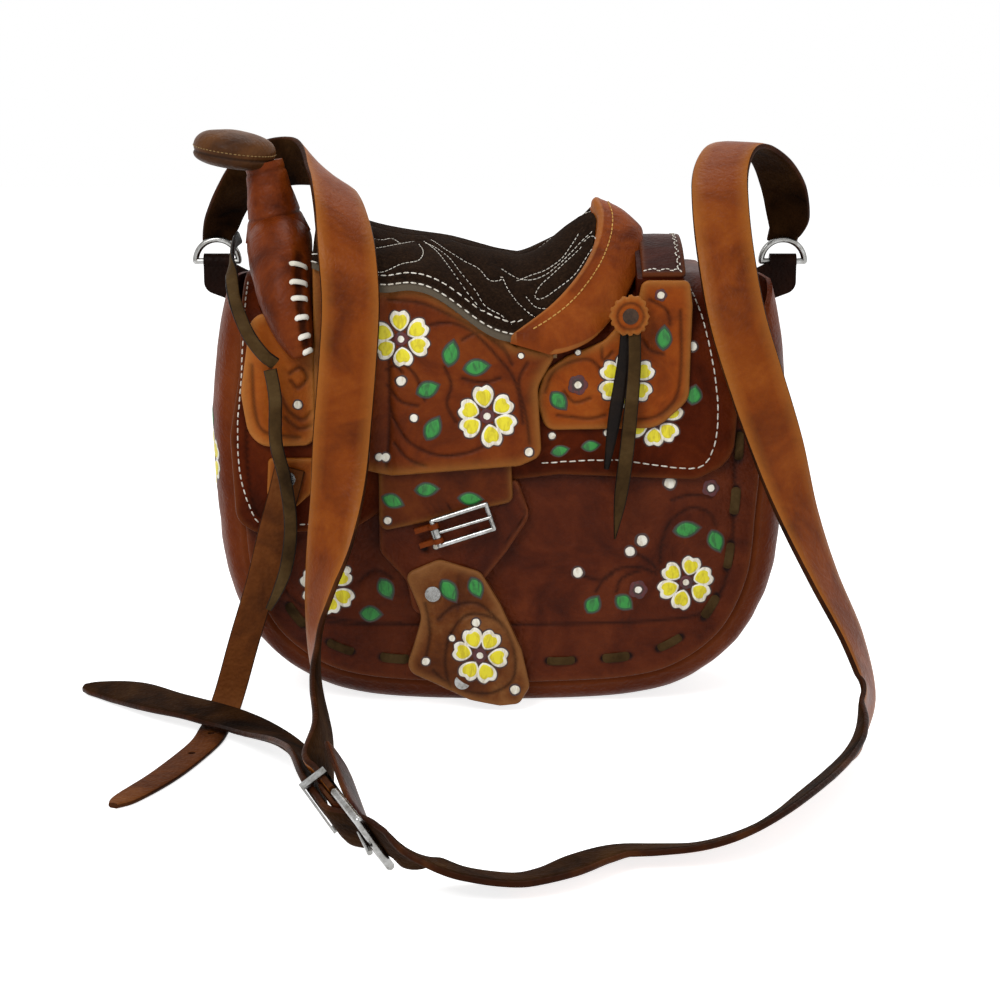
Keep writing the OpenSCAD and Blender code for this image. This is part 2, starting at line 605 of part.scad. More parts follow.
// A leather loop on the fender that holds the buckle's left bar, either side of the tongue
module buckle_loop() {
    color(brown_leather) on_fender() difference() {
        for (z = [-4.7, 2.4]) translate([-13, 0, z]) {
            cylinder(r = wire_r + 1.2, h = 2.3);
            translate([-9, wire_r - 0.9, 0]) cube([9, 2.2, 2.3]);
        }
        translate([-13, 0, -8]) cylinder(r = wire_r + 0.02, h = 16);
    }
}
module fender_buckle_tongue() {
    color(chrome) on_fender() {
        difference() {
            translate([-13, 0, -2]) cylinder(r = wire_r + 1, h = 4);
            translate([-13, 0, -3]) cylinder(r = wire_r + run_gap, h = 6);
        }
        translate([-13, 0, 0]) rotate([0, 0, -4.8]) translate([wire_r + 0.5, 0, 0]) rotate([0, 90, 0])
            cylinder(r = 0.8, h = 25);
    }
}
// The stirrup: two leathers that clasp the fender's end
stirrup_edge = rounded([[-44, 66, 4], [-28, 73, 6], [-9, 67, 6], [0, 52, 10], [10, 30, 10], [14, 12, 5],
    [9, 4, 4], [0, 3.2, 4], [-14, 6, 8], [-44, 20, 6], [-40, 32, 12], [-36, 46, 12]]);
module stirrup_front() {
    color(mahogany) difference() {
        sheet_at(fender_y) polygon(stirrup_edge);
        translate([-31, 0, 57]) rotate([90, 0, 0]) cylinder(r = 1.55, h = 80);
        translate([-17.5, 0, 15]) rotate([90, 0, 0]) cylinder(r = 1.55, h = 80);
    }
}
module stirrup_back() {
    color(dark_leather) difference() {
        sheet_at(skirt_y) polygon(stirrup_edge);
        translate([-31, 0, 57]) rotate([90, 0, 0]) cylinder(r = 1.55, h = 80);
        translate([-17.5, 0, 15]) rotate([90, 0, 0]) cylinder(r = 1.55, h = 80);
    }
}
module stirrup_rivets() {
    shank = skirt_y + leather_t - fender_y - 0.1;
    color(chrome) for (p = [[-31, 57], [-17.5, 15]]) {
        button_at(p[0], fender_y, p[1], 1.5, shank);
        button_at(p[0], fender_y - 1.4, p[1], rivet_r, 1.4);
    }
}

// The D-rings: the straight bar turns in its tab, and the bow carries the strap
module d_ring(side) {
    color(chrome) translate([side * ring_x, hinge_y, hinge_z]) {
        rotate([90, 0, 0]) rotate_extrude(angle = 180) translate([ring_bow_r, 0]) circle(r = ring_wire_r);
        translate([-ring_bow_r, 0, 0]) rotate([0, 90, 0]) cylinder(r = ring_wire_r, h = 2 * ring_bow_r);
        for (s = [-1, 1]) translate([s * ring_bow_r, 0, 0]) sphere(r = ring_wire_r);
    }
}
module d_ring_left() d_ring(-1);
module d_ring_right() d_ring(1);

// The strap's buckle lies tipped with the strap, its free side towards the front. Its own
// x is off its plane, y runs along the strap and z across it
strap_buckle_at = [-52.5, -253.5, 15.8];
strap_buckle_turn = [14, -33, 19];
buckle_wire_r = 1.7;
buckle_reach = 11;
buckle_half = 13.5;
function turn_x(v, a) = [v[0], v[1] * cos(a) - v[2] * sin(a), v[1] * sin(a) + v[2] * cos(a)];
function turn_y(v, a) = [v[0] * cos(a) + v[2] * sin(a), v[1], v[2] * cos(a) - v[0] * sin(a)];
function turn_z(v, a) = [v[0] * cos(a) - v[1] * sin(a), v[0] * sin(a) + v[1] * cos(a), v[2]];
function as_buckle(v) =
    turn_z(turn_y(turn_x(v, strap_buckle_turn[0]), strap_buckle_turn[1]), strap_buckle_turn[2]);
// A point beside the buckle: run is along the strap from the buckle's middle, side is off its plane
function at_buckle(run, side = 0) = strap_buckle_at + as_buckle([side, run, 0]);
across_buckle = as_buckle([0, 0, 1]);
// The shoulder strap, in rows of place, direction across and width
strap_end_w = 15;
short_route = [
    [[-138, 50.2, 209.5], [1, 0, 0], strap_end_w], [[-137.8, 48.6, 212.8], [1, 0.1, 0], strap_end_w],
    [[-136.5, 46.5, 215.6], [1, 0.3, 0], strap_end_w + 2], [[-133, 44, 224], [0.7, 0.6, -0.2], strap_w - 5],
    [[-127, 39, 234], [0.4, 0.75, -0.4], strap_w - 1], [[-117, 32, 243.5], [0.15, 0.6, -0.75], strap_w],
    [[-106, 25, 249], [0.1, 0.5, -0.85], strap_w], [[-95, 17, 250.5], [0.15, 0.5, -0.85], strap_w],
    [[-87, 7, 249], [0.3, 0.65, -0.7], strap_w], [[-81, -6, 246.5], [0.5, 0.75, -0.45], strap_w],
    [[-76, -23, 242], [0.65, 0.72, -0.2], strap_w], [[-71.5, -42, 231], [0.85, 0.45, -0.1], strap_w],
    [[-68, -57, 213], [1, 0.12, 0], strap_w], [[-66.5, -62.5, 192], [1, 0, 0], strap_w],
    [[-68, -65.5, 166], [1, 0, 0], strap_w],
    [[-70.5, -68, 138], [1, 0, 0], strap_w], [[-72.5, -71, 112], [0.95, -0.3, 0], strap_w],
    [[-76, -77, 88], [0.8, -0.6, 0], strap_w], [[-79.5, -87, 68], [0.5, -0.85, 0.1], strap_w],
    [[-80.5, -103, 52], [0.22, -0.95, 0.2], strap_w], [[-78.5, -128, 41], [0.05, -0.85, 0.4], strap_w],
    [[-75, -158, 33.5], [-0.2, -0.6, 0.75], strap_w], [[-72, -190, 28.6], [-0.25, -0.25, 0.93], strap_w - 1],
    [at_buckle(44), across_buckle, strap_w - 1], [at_buckle(35), across_buckle, strap_w - 1],
    [at_buckle(26), across_buckle, strap_w - 1], [at_buckle(17), across_buckle, strap_w - 1]];
long_route = [
    [[138, 50.2, 209.5], [-1, 0, 0], strap_end_w], [[138.4, 48.6, 212.8], [-1, 0.1, 0], strap_end_w],
    [[139.3, 46, 215.8], [-1, 0.2, 0], strap_end_w + 2], [[139.5, 42.5, 224], [-0.8, 0.5, 0], strap_w - 3],
    [[136, 36, 238], [-0.7, 0.6, 0], strap_w], [[129, 27, 250], [-0.6, 0.7, 0], strap_w],
    [[118, 16, 257.5], [-0.6, 0.7, 0], strap_w], [[108, 4, 257], [-0.8, 0.5, 0], strap_w],
    [[102, -10, 248], [-0.9, 0.3, 0], strap_w], [[100.5, -26, 234], [-1, 0.1, 0], strap_w],
    [[102, -42, 212], [-1, 0, 0], strap_w], [[106.5, -55, 185], [-1, 0, 0], strap_w],
    [[115, -62, 157], [-1, -0.1, 0], strap_w], [[124, -66, 130], [-0.95, -0.3, 0], strap_w],
    [[133.5, -71, 100], [-0.75, -0.65, 0], strap_w], [[145, -78, 72], [-0.55, -0.85, 0], strap_w],
    [[157.5, -86, 46], [-0.4, -0.9, 0], strap_w], [[163.5, -94, 25], [-0.3, -0.95, 0.05], strap_w],
    [[158.5, -114, 14.4], [-0.25, -0.93, 0.28], strap_w], [[151, -138, 11.8], [-0.08, -0.95, 0.36], strap_w],
    [[142.5, -158, 10.4], [0.2, -0.8, 0.48], strap_w], [[132, -180, 9.8], [0.45, -0.65, 0.55], strap_w],
    [[119.5, -204, 9.6], [0.55, -0.52, 0.57], strap_w], [[105, -226, 9], [0.5, -0.6, 0.52], strap_w],
    [[90, -240, 7.6], [0.4, -0.8, 0.42], strap_w], [[76, -246, 6], [0.2, -0.9, 0.32], strap_w],
    [[60, -247, 5.2], [0.05, -1, 0.26], strap_w], [[46, -248, 5], [0.1, -1, 0.24], strap_w],
    [[34, -257, 5], [0.4, -0.9, 0.24], strap_w], [[21, -271, 5], [0.3, -0.9, 0.24], strap_w],
    [[6, -278.5, 5], [0, -1, 0.24], strap_w], [[-12, -281, 8], [-0.15, -0.95, 0.27], strap_w],
    [[-27.5, -280, 13.2], [-0.33, -0.85, 0.36], strap_w - 1],
    [at_buckle(-21, 5), across_buckle, strap_w - 3],
    [at_buckle(-11, 3.4), across_buckle, strap_w - 4], [at_buckle(0, -0.6), across_buckle, strap_w - 4],
    [at_buckle(11, -6), across_buckle, tail_w], [at_buckle(24, -6), across_buckle, tail_w],
    [at_buckle(36, -6), across_buckle, tail_w], [[-79, -190, 18], [-0.48, -0.35, 0.75], tail_w],
    [[-84, -163, 15], [-0.6, -0.45, 0.6], tail_w], [[-92, -134, 11], [-0.7, -0.55, 0.4], tail_w],
    [[-104, -109, 8.2], [-0.75, -0.6, 0.15], tail_w], [[-119, -88, 7.2], [-0.75, -0.62, 0], tail_w],
    [[-137, -74, 8], [-0.7, -0.65, -0.04], tail_w], [[-156, -57, 6.8], [-0.65, -0.75, -0.1], tail_w],
    [[-177, -32, 4.2], [-0.55, -0.83, -0.12], tail_w],
    [[-193, -22, 3.2], [-0.5, -0.85, -0.12], tail_w * 0.6],
    [[-199, -20, 2.8], [-0.5, -0.85, -0.12], tail_w * 0.25]];
module strap_short() {
    color(tan_leather) strip(short_route, strap_t, 3);
}
module strap_long() {
    color(tan_leather) difference() {
        strip(long_route, strap_t, 3);
        for (run = [0.4, 3]) on_strap() translate([-1.3, run, 0]) rotate([0, 90, 0])
            cylinder(r = 3.4, h = 12, center = true);
    }
}
module on_strap() {
    translate(strap_buckle_at) rotate(strap_buckle_turn) children();
}
module strap_buckle() {
    color(chrome) on_strap() rotate([0, 0, 90])
        frame_buckle(2 * buckle_reach, 2 * buckle_half, buckle_wire_r);
}
// The short strap's turned-back end: a loop round the buckle's bar and the strap's end,
// whose free length stands off the strap
module strap_chape() {
    loop_r = buckle_wire_r + 2.1;
    free_lean = 12;
    color(brown_leather) on_strap() difference() {
        union() {
            translate([0, buckle_reach, -11]) cylinder(r = loop_r, h = 22);
            translate([-strap_t / 2 - 2.2, buckle_reach + 1, -11.5]) cube([2.1, 12, 23]);
            translate([strap_t / 2 + 0.1, buckle_reach + 1, -11.5]) rotate([0, 0, -free_lean])
                cube([2.1, 36, 23]);
        }
        translate([0, buckle_reach, -12]) cylinder(r = buckle_wire_r + 0.02, h = 24);
        translate([-strap_t / 2 - 0.1, buckle_reach + loop_r + 0.4, -12]) cube([strap_t + 0.2, 30, 24]);
        translate([-5, buckle_reach - 5, -3.2]) cube([10, 10.5, 6.4]);
    }
}
module strap_buckle_tongue() {
    color(chrome) on_strap() {
        difference() {
            translate([0, buckle_reach, -2.5]) cylinder(r = buckle_wire_r + 1.2, h = 5);
            translate([0, buckle_reach, -4]) cylinder(r = buckle_wire_r + run_gap, h = 8);
        }
        translate([0, buckle_reach, 0]) rotate([90, 0, -7.8]) translate([0, 0, buckle_wire_r + 0.6])
            cylinder(r = 1.1, h = 23);
    }
}
// A metal loop round the strap and its tail
module strap_keeper() {
    wall = 0.9;
    left = -8.3;
    right = strap_t / 2;
    half = 12.6;
    keeper_w = 4;
    color(chrome) on_strap() translate([0, buckle_reach + 16, 0]) difference() {
        translate([left - wall, -keeper_w / 2, -half - wall])
            cube([right - left + 2 * wall, keeper_w, 2 * (half + wall)]);
        translate([left, -keeper_w / 2 - 1, -half]) cube([right - left, keeper_w + 2, 2 * half]);
    }
}

gusset();
front_panel();
back_panel();
front_lacing();
back_lacing();
inner_pocket();
ring_tab_left();
ring_tab_right();
tab_rivets();
skirt();
saddle_tree();
seat_pad();
seat_jockey();
front_jockey();
rear_jockey();
cantle_core();
cantle_band();
rear_plate();
fork_core();
fork_cover();
fork_lacing();
horn_post();
horn_neck_cover();
horn_cap();
front_thong_loop();
billet_tab();
billet_rivet();
billet_strap();
rosette();
fender_upper();
fender_lower();
fender_buckle();
buckle_loop();
fender_buckle_tongue();
stirrup_front();
stirrup_back();
stirrup_rivets();
rear_thongs();
rosette_rivet();
front_thong();
d_ring_left();
d_ring_right();
strap_short();
strap_long();
strap_chape();
strap_buckle();
strap_buckle_tongue();
strap_keeper();
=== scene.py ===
"""A small western saddle made as a leather shoulder bag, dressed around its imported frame."""

import math

import bmesh
import bpy
import numpy as np
from mathutils import Euler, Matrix, Vector, geometry, noise


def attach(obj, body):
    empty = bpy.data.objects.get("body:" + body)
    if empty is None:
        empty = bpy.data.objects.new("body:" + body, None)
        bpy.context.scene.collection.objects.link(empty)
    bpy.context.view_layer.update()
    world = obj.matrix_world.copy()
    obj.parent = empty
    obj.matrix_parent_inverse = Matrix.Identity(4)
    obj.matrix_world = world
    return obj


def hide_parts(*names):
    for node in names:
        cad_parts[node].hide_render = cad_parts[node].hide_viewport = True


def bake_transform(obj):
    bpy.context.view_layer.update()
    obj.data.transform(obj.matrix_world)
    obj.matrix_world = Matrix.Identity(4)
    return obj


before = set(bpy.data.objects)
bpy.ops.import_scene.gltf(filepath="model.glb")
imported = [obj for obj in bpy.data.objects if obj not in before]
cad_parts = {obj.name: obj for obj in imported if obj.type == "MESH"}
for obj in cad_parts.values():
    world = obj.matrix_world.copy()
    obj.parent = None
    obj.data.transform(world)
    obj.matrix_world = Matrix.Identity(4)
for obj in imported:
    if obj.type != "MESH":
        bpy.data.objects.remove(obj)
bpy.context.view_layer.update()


# Camera and studio: a pale table under soft light, seen from a little above
# as in a photograph of the front, with the saddle's horn to the left.
EYE = (0.0, -1.12096, 0.32870)
LOOKED_AT = (0.0, -0.045, 0.100)
LENS_MM = 86.09

camera_data = bpy.data.cameras.new("photo_camera")
camera_data.lens = LENS_MM
camera_data.sensor_width = 36.0
camera = bpy.data.objects.new("photo_camera", camera_data)
camera.location = EYE
camera.rotation_mode = "QUATERNION"
camera.rotation_quaternion = (Vector(LOOKED_AT) - Vector(EYE)).to_track_quat("-Z", "Y")
bpy.context.scene.collection.objects.link(camera)
bpy.context.scene.camera = camera
bpy.context.scene.view_settings.view_transform = "Standard"


class Tone:
    """A value in a material, whose arithmetic adds Math nodes."""

    def __init__(self, dye, socket):
        self.dye = dye
        self.socket = socket

    def _math(self, operation, first, second):
        return self.dye.node("ShaderNodeMath", {"operation": operation}, {0: first, 1: second})

    def __add__(self, other):
        return self._math("ADD", self, other)

    __radd__ = __add__

    def __mul__(self, other):
        return self._math("MULTIPLY", self, other)

    __rmul__ = __mul__

    def __sub__(self, other):
        return self._math("SUBTRACT", self, other)

    def __rsub__(self, other):
        return self._math("SUBTRACT", other, self)

    def __pow__(self, other):
        return self._math("POWER", self, other)


class Dye:
    """A material or world being made up, node by node."""

    def __init__(self, owner):
        owner.use_nodes = True
        self.tree = owner.node_tree
        self.tree.nodes.clear()

    def node(self, kind, settings, sockets, out=0):
        made = self.tree.nodes.new(kind)
        for name, value in settings.items():
            if name == "stops":
                ramp = made.color_ramp
                while len(ramp.elements) < len(value):
                    ramp.elements.new(1.0)
                for stop, (place, shade) in zip(ramp.elements, value):
                    stop.position = place
                    stop.color = (*shade, 1.0)
            else:
                setattr(made, name, value)
        for name, value in sockets.items():
            if isinstance(value, Tone):
                self.tree.links.new(value.socket, made.inputs[name])
            elif isinstance(value, tuple) and len(value) == 3 and made.inputs[name].type == "RGBA":
                made.inputs[name].default_value = (*value, 1.0)
            else:
                made.inputs[name].default_value = value
        return Tone(self, made.outputs[out]) if len(made.outputs) else None

    def mix(self, share, first, second, blend="MIX"):
        return self.node("ShaderNodeMix", {"data_type": "RGBA", "blend_type": blend, "clamp_factor": True},
                         {0: share, 6: first, 7: second}, 2)

    def ramp(self, value, *stops):
        return self.node("ShaderNodeValToRGB", {"stops": stops}, {"Fac": value})

    def place(self):
        return self.node("ShaderNodeTexCoord", {}, {}, "Object")

    def noise(self, scale, detail=3.0, rough=0.55, warp=0.0, stretch=None):
        spot = self.place()
        if stretch:
            spot = self.node("ShaderNodeVectorMath", {"operation": "MULTIPLY"}, {0: spot, 1: stretch})
        return self.node("ShaderNodeTexNoise", {}, {"Vector": spot, "Scale": scale, "Detail": detail,
                                                    "Roughness": rough, "Distortion": warp})

    def mark(self, name):
        return self.node("ShaderNodeAttribute", {"attribute_name": name}, {}, "Fac")

    def bump(self, height, strength, distance):
        return self.node("ShaderNodeBump", {},
                         {"Strength": strength, "Distance": distance, "Height": height})

    def seen(self):
        """1 for what the camera sees, straight or in metal and glass, and 0 for other rays."""
        camera_ray, glossy_ray, clear_ray = [self.node("ShaderNodeLightPath", {}, {}, kind) for kind in (
            "Is Camera Ray", "Is Glossy Ray", "Is Transmission Ray")]
        return self.node("ShaderNodeMath", {"operation": "MINIMUM"},
                         {0: camera_ray + glossy_ray + clear_ray, 1: 1.0})

    def surface(self, sockets):
        """Ends the material in one Principled shader."""
        shader = self.node("ShaderNodeBsdfPrincipled", {}, sockets)
        self.node("ShaderNodeOutputMaterial", {}, {"Surface": shader})


def new_skin(name):
    made = bpy.data.materials.new(name)
    return made, Dye(made)


def srgb(red, green, blue):
    """A colour as a paint chart gives it, turned into the linear values that nodes take."""
    def linear(c):
        c = c / 255
        return c / 12.92 if c <= 0.04045 else ((c + 0.055) / 1.055) ** 2.4
    return linear(red), linear(green), linear(blue)


# The table is matt white card. Seen by the camera or in the metal it glows a
# little, so that it reads as white, and it still takes the bag's shadow.
TABLE_HALF = 3.0
TABLE_WHITE = (0.86, 0.86, 0.86)
TABLE_GLOW = 0.80
WHITE_LIGHT = (1.0, 1.0, 1.0)
ROOM_LIGHT = 0.42

table_mesh = bpy.data.meshes.new("table_top")
corners = [(TABLE_HALF * x, TABLE_HALF * y, 0) for x, y in ((-1, -1), (1, -1), (1, 1), (-1, 1))]
table_mesh.from_pydata(corners, [], [(0, 1, 2, 3)])
table_top = bpy.data.objects.new("table_top", table_mesh)
bpy.context.scene.collection.objects.link(table_top)
card, dye = new_skin("white_card")
matt = dye.node("ShaderNodeBsdfDiffuse", {}, {"Color": TABLE_WHITE})
glow = dye.node("ShaderNodeEmission", {}, {"Color": WHITE_LIGHT, "Strength": dye.seen() * TABLE_GLOW})
dye.node("ShaderNodeOutputMaterial", {},
         {"Surface": dye.node("ShaderNodeAddShader", {}, {0: matt, 1: glow})})
table_mesh.materials.append(card)

room = bpy.data.worlds.new("white_room")
bpy.context.scene.world = room
dye = Dye(room)
lit = dye.node("ShaderNodeBackground", {}, {
    "Color": WHITE_LIGHT, "Strength": dye.seen() * (1.0 - ROOM_LIGHT) + ROOM_LIGHT})
dye.node("ShaderNodeOutputWorld", {}, {"Surface": lit})

SOFT_LIGHTS = (("window_light", (-0.55, -1.1, 1.15), 0.7, 12.0), ("fill_light", (1.0, -0.9, 0.6), 1.0, 2.5),
               ("top_light", (0.1, 0.5, 1.4), 0.8, 5.0))
for name, spot, size, watts in SOFT_LIGHTS:
    lamp_data = bpy.data.lights.new(name, "AREA")
    lamp_data.size = size
    lamp_data.energy = watts
    lamp = bpy.data.objects.new(name, lamp_data)
    lamp.location = spot
    lamp.rotation_mode = "QUATERNION"
    lamp.rotation_quaternion = (Vector(LOOKED_AT) - Vector(spot)).to_track_quat("-Z", "Y")
    bpy.context.scene.collection.objects.link(lamp)


# Leather: vegetable-tanned cowhide, dyed by hand, so its colour is uneven. Tooled
# lines hold more dye, edges are rubbed paler, and the grain is pebbled and creased.
MM = 0.001


def leather(name, dark, mid, pale, grain=1.0, crease=1.0, gloss=0.42, rim_shade=None, mottle=34.0,
            wax=0.1):
    """A leather whose marks 'groove' and 'rim' say where it is tooled or sunk and where its edge is."""
    made, dye = new_skin(name)
    dark, mid, pale = [srgb(*shade) for shade in (dark, mid, pale)]
    blotch = dye.noise(mottle, 4.0, 0.6, 0.6)
    fibre = dye.noise(300.0, 5.0, 0.65)
    groove = dye.mark("groove")
    rim = dye.mark("rim")
    tint = dye.ramp(blotch, (0.30, dark), (0.50, mid), (0.72, pale))
    tint = dye.mix(fibre * 0.5, tint, mid, "OVERLAY")
    # Darker along the 'groove' mark: the tooled lines, and painted shade in the sunk lace slots and punched
    # holes.
    tint = dye.mix(groove * 0.78, tint, tuple(c * 0.22 for c in dark))
    if rim_shade:
        tint = dye.mix(rim * 0.8, tint, srgb(*rim_shade))
    pebble = dye.node("ShaderNodeTexVoronoi", {"feature": "SMOOTH_F1"},
                      {"Vector": dye.place(), "Scale": 620.0, "Smoothness": 0.6}, "Distance")
    folds = dye.noise(95.0, 4.0, 0.6, 1.4)
    veins = dye.node("ShaderNodeMath", {"operation": "ABSOLUTE"}, {0: folds - 0.5})
    relief = pebble * (0.55 * grain) + fibre * (0.45 * grain) + (veins ** 0.5) * (1.1 * crease)
    shine = fibre * 0.22 + (gloss - 0.11) + groove * 0.12
    dye.surface({"Base Color": tint, "Roughness": shine, "Normal": dye.bump(relief, 0.5, 0.0006),
                 "Specular IOR Level": wax})
    return made


caramel = leather("caramel_leather", (92, 38, 1), (130, 62, 8), (150, 80, 20), 0.8, 0.8, 0.40,
                  (160, 96, 36))
tan_hide = leather("tan_leather", (94, 38, 4), (138, 66, 14), (158, 84, 26), 0.9, 0.8, 0.42,
                   (168, 104, 48))
brown_hide = leather("brown_leather", (74, 26, 2), (116, 50, 8), (138, 68, 18), 0.9, 0.9, 0.42,
                     (146, 92, 40))
red_hide = leather("mahogany_leather", (56, 16, 2), (88, 34, 9), (112, 50, 20), 1.3, 1.5, 0.40,
                   (108, 54, 26))
dark_hide = leather("dark_leather", (36, 9, 2), (62, 18, 3), (80, 30, 10), 0.9, 0.8, 0.38,
                    (98, 52, 28), wax=0.03)
flesh_side = leather("flesh_side_leather", (18, 8, 3), (52, 30, 12), (76, 50, 26), 2.0, 0.3, 0.75,
                     wax=0.02)


def unit(vectors):
    return vectors / np.maximum(np.linalg.norm(vectors, axis=1), 1e-9)[:, None]


def tangents(points):
    ahead = np.vstack([points[1:], points[-1:]])
    behind = np.vstack([points[:1], points[:-1]])
    return unit(ahead - behind)


def left_of(run):
    return np.column_stack([-run[:, 1], run[:, 0]])


def run_along(points):
    """Distance from the start of an open line to each of its points."""
    return np.concatenate([[0], np.cumsum(np.linalg.norm(np.diff(points, axis=0), axis=1))])


def at_runs(points, along, places):
    """Points of an open line at the given distances from its start."""
    return np.column_stack([np.interp(places, along, column) for column in points.T])


def turns_of(count):
    """Angles all the way round, evenly spaced."""
    return np.linspace(0, 2 * math.pi, count + 1)[:-1]


def smooth_line(points, steps):
    """A Catmull-Rom curve through the points."""
    p = np.array(points, float)
    q = np.vstack([p[:1], p, p[-1:]])
    t = (np.arange(steps) / steps)[:, None]
    runs = []
    for a, b, c, d in zip(q, q[1:], q[2:], q[3:]):
        runs.append(0.5 * (2 * b + (c - a) * t + (2 * a - 5 * b + 4 * c - d) * t ** 2
                           + (3 * b - a - 3 * c + d) * t ** 3))
    return np.vstack(runs + [p[-1:]])


def spaced(points, pitch):
    """The same open line with points every pitch millimetres."""
    along = run_along(points)
    count = max(2, int(round(along[-1] / pitch)) + 1)
    return at_runs(points, along, np.linspace(0, along[-1], count))


def inset_of(points, depth):
    """An open line moved to its left."""
    return points + depth * left_of(tangents(points))


def rounded(corners):
    """A closed outline from rows of x, z and corner radius."""
    found = []
    for k, (x, z, radius) in enumerate(corners):
        b = np.array([x, z], float)
        if radius <= 0:
            found.append(b)
            continue
        a = np.array(corners[k - 1][:2], float)
        c = np.array(corners[(k + 1) % len(corners)][:2], float)
        u = (a - b) / np.linalg.norm(a - b)
        v = (c - b) / np.linalg.norm(c - b)
        half = math.acos(float(np.clip(u @ v, -1, 1))) / 2
        back = min(radius / math.tan(half), np.linalg.norm(a - b) * 0.49, np.linalg.norm(c - b) * 0.49)
        reach = back * math.tan(half)
        middle = b + (u + v) / np.linalg.norm(u + v) * reach / math.sin(half)
        start = math.atan2(*(b + u * back - middle)[::-1])
        turn = math.atan2(*(b + v * back - middle)[::-1]) - start
        turn = (turn + math.pi) % (2 * math.pi) - math.pi
        for share in np.linspace(0, 1, 9):
            angle = start + turn * share
            found.append(middle + reach * np.array([math.cos(angle), math.sin(angle)]))
    return np.array(found)


def distance_to(points, lines):
    """How far each 2-D point is from the nearest of the open lines."""
    nearest = np.full(len(points), 1e9)
    for line in lines:
        for a, b in zip(line, line[1:]):
            run = b - a
            share = np.clip(((points - a) @ run) / max(run @ run, 1e-12), 0, 1)
            nearest = np.minimum(nearest, np.linalg.norm(points - a - share[:, None] * run, axis=1))
    return nearest


def inside(points, outline):
    """Which 2-D points lie within the closed outline."""
    within = np.zeros(len(points), bool)
    for a, b in zip(outline, np.roll(outline, -1, axis=0)):
        crosses = (a[1] > points[:, 1]) != (b[1] > points[:, 1])
        with np.errstate(divide="ignore", invalid="ignore"):
            at = a[0] + (points[:, 1] - a[1]) / (b[1] - a[1]) * (b[0] - a[0])
        within ^= crosses & (points[:, 0] < at)
    return within


def make(name, points, faces, skins, body, skin_of=None, marks=None, sharp=50, replaces=()):
    """A named piece from points in millimetres, smooth-shaded and riding on its body.

    Marks are for the first points. Any others are left unmarked.
    """
    mesh = bpy.data.meshes.new(name)
    mesh.from_pydata([tuple(p) for p in np.asarray(points, float) * MM], [], faces)
    for skin in skins:
        mesh.materials.append(skin)
    if skin_of is not None:
        mesh.polygons.foreach_set("material_index", np.asarray(skin_of, np.int32))
    for mark, values in (marks or {}).items():
        whole = np.pad(np.ravel(values), (0, len(points) - np.size(values)))
        mesh.attributes.new(mark, "FLOAT", "POINT").data.foreach_set("value", whole.astype(np.float32))
    shell = bmesh.new()
    shell.from_mesh(mesh)
    bmesh.ops.recalc_face_normals(shell, faces=shell.faces)
    shell.to_mesh(mesh)
    shell.free()
    mesh.shade_smooth()
    mesh.set_sharp_from_angle(angle=math.radians(sharp))
    piece = bpy.data.objects.new(name, mesh)
    bpy.context.scene.collection.objects.link(piece)
    if body:
        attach(piece, body)
    if replaces:
        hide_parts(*replaces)
    return piece


def triangles(outline, inner):
    """Triangles that fill a closed outline through the given inner points."""
    spots = [Vector(p) for p in np.vstack([outline, inner])]
    loop = list(range(len(outline)))
    found = geometry.delaunay_2d_cdt(spots, [], [loop], 1, 1e-6)
    return np.array([tuple(v) for v in found[0]]), [tuple(f) for f in found[2]]


def mesh_spots(outline, pitch, keep_off):
    """Evenly staggered points within an outline, kept off its edge."""
    low = outline.min(0)
    high = outline.max(0)
    rows = np.arange(low[1], high[1], pitch * 0.866)
    spots = []
    for k, z in enumerate(rows):
        xs = np.arange(low[0] + (k % 2) * pitch / 2, high[0], pitch)
        spots.append(np.column_stack([xs, np.full(len(xs), z)]))
    spots = np.vstack(spots)
    spots = spots[inside(spots, outline)]
    ring = np.vstack([outline, outline[:1]])
    return spots[distance_to(spots, [ring]) > keep_off]


SHEET = 2.2
OUTLINE_PITCH = 1.2
REAR_PITCH = 5.0
REAR_MARGIN = 3.0


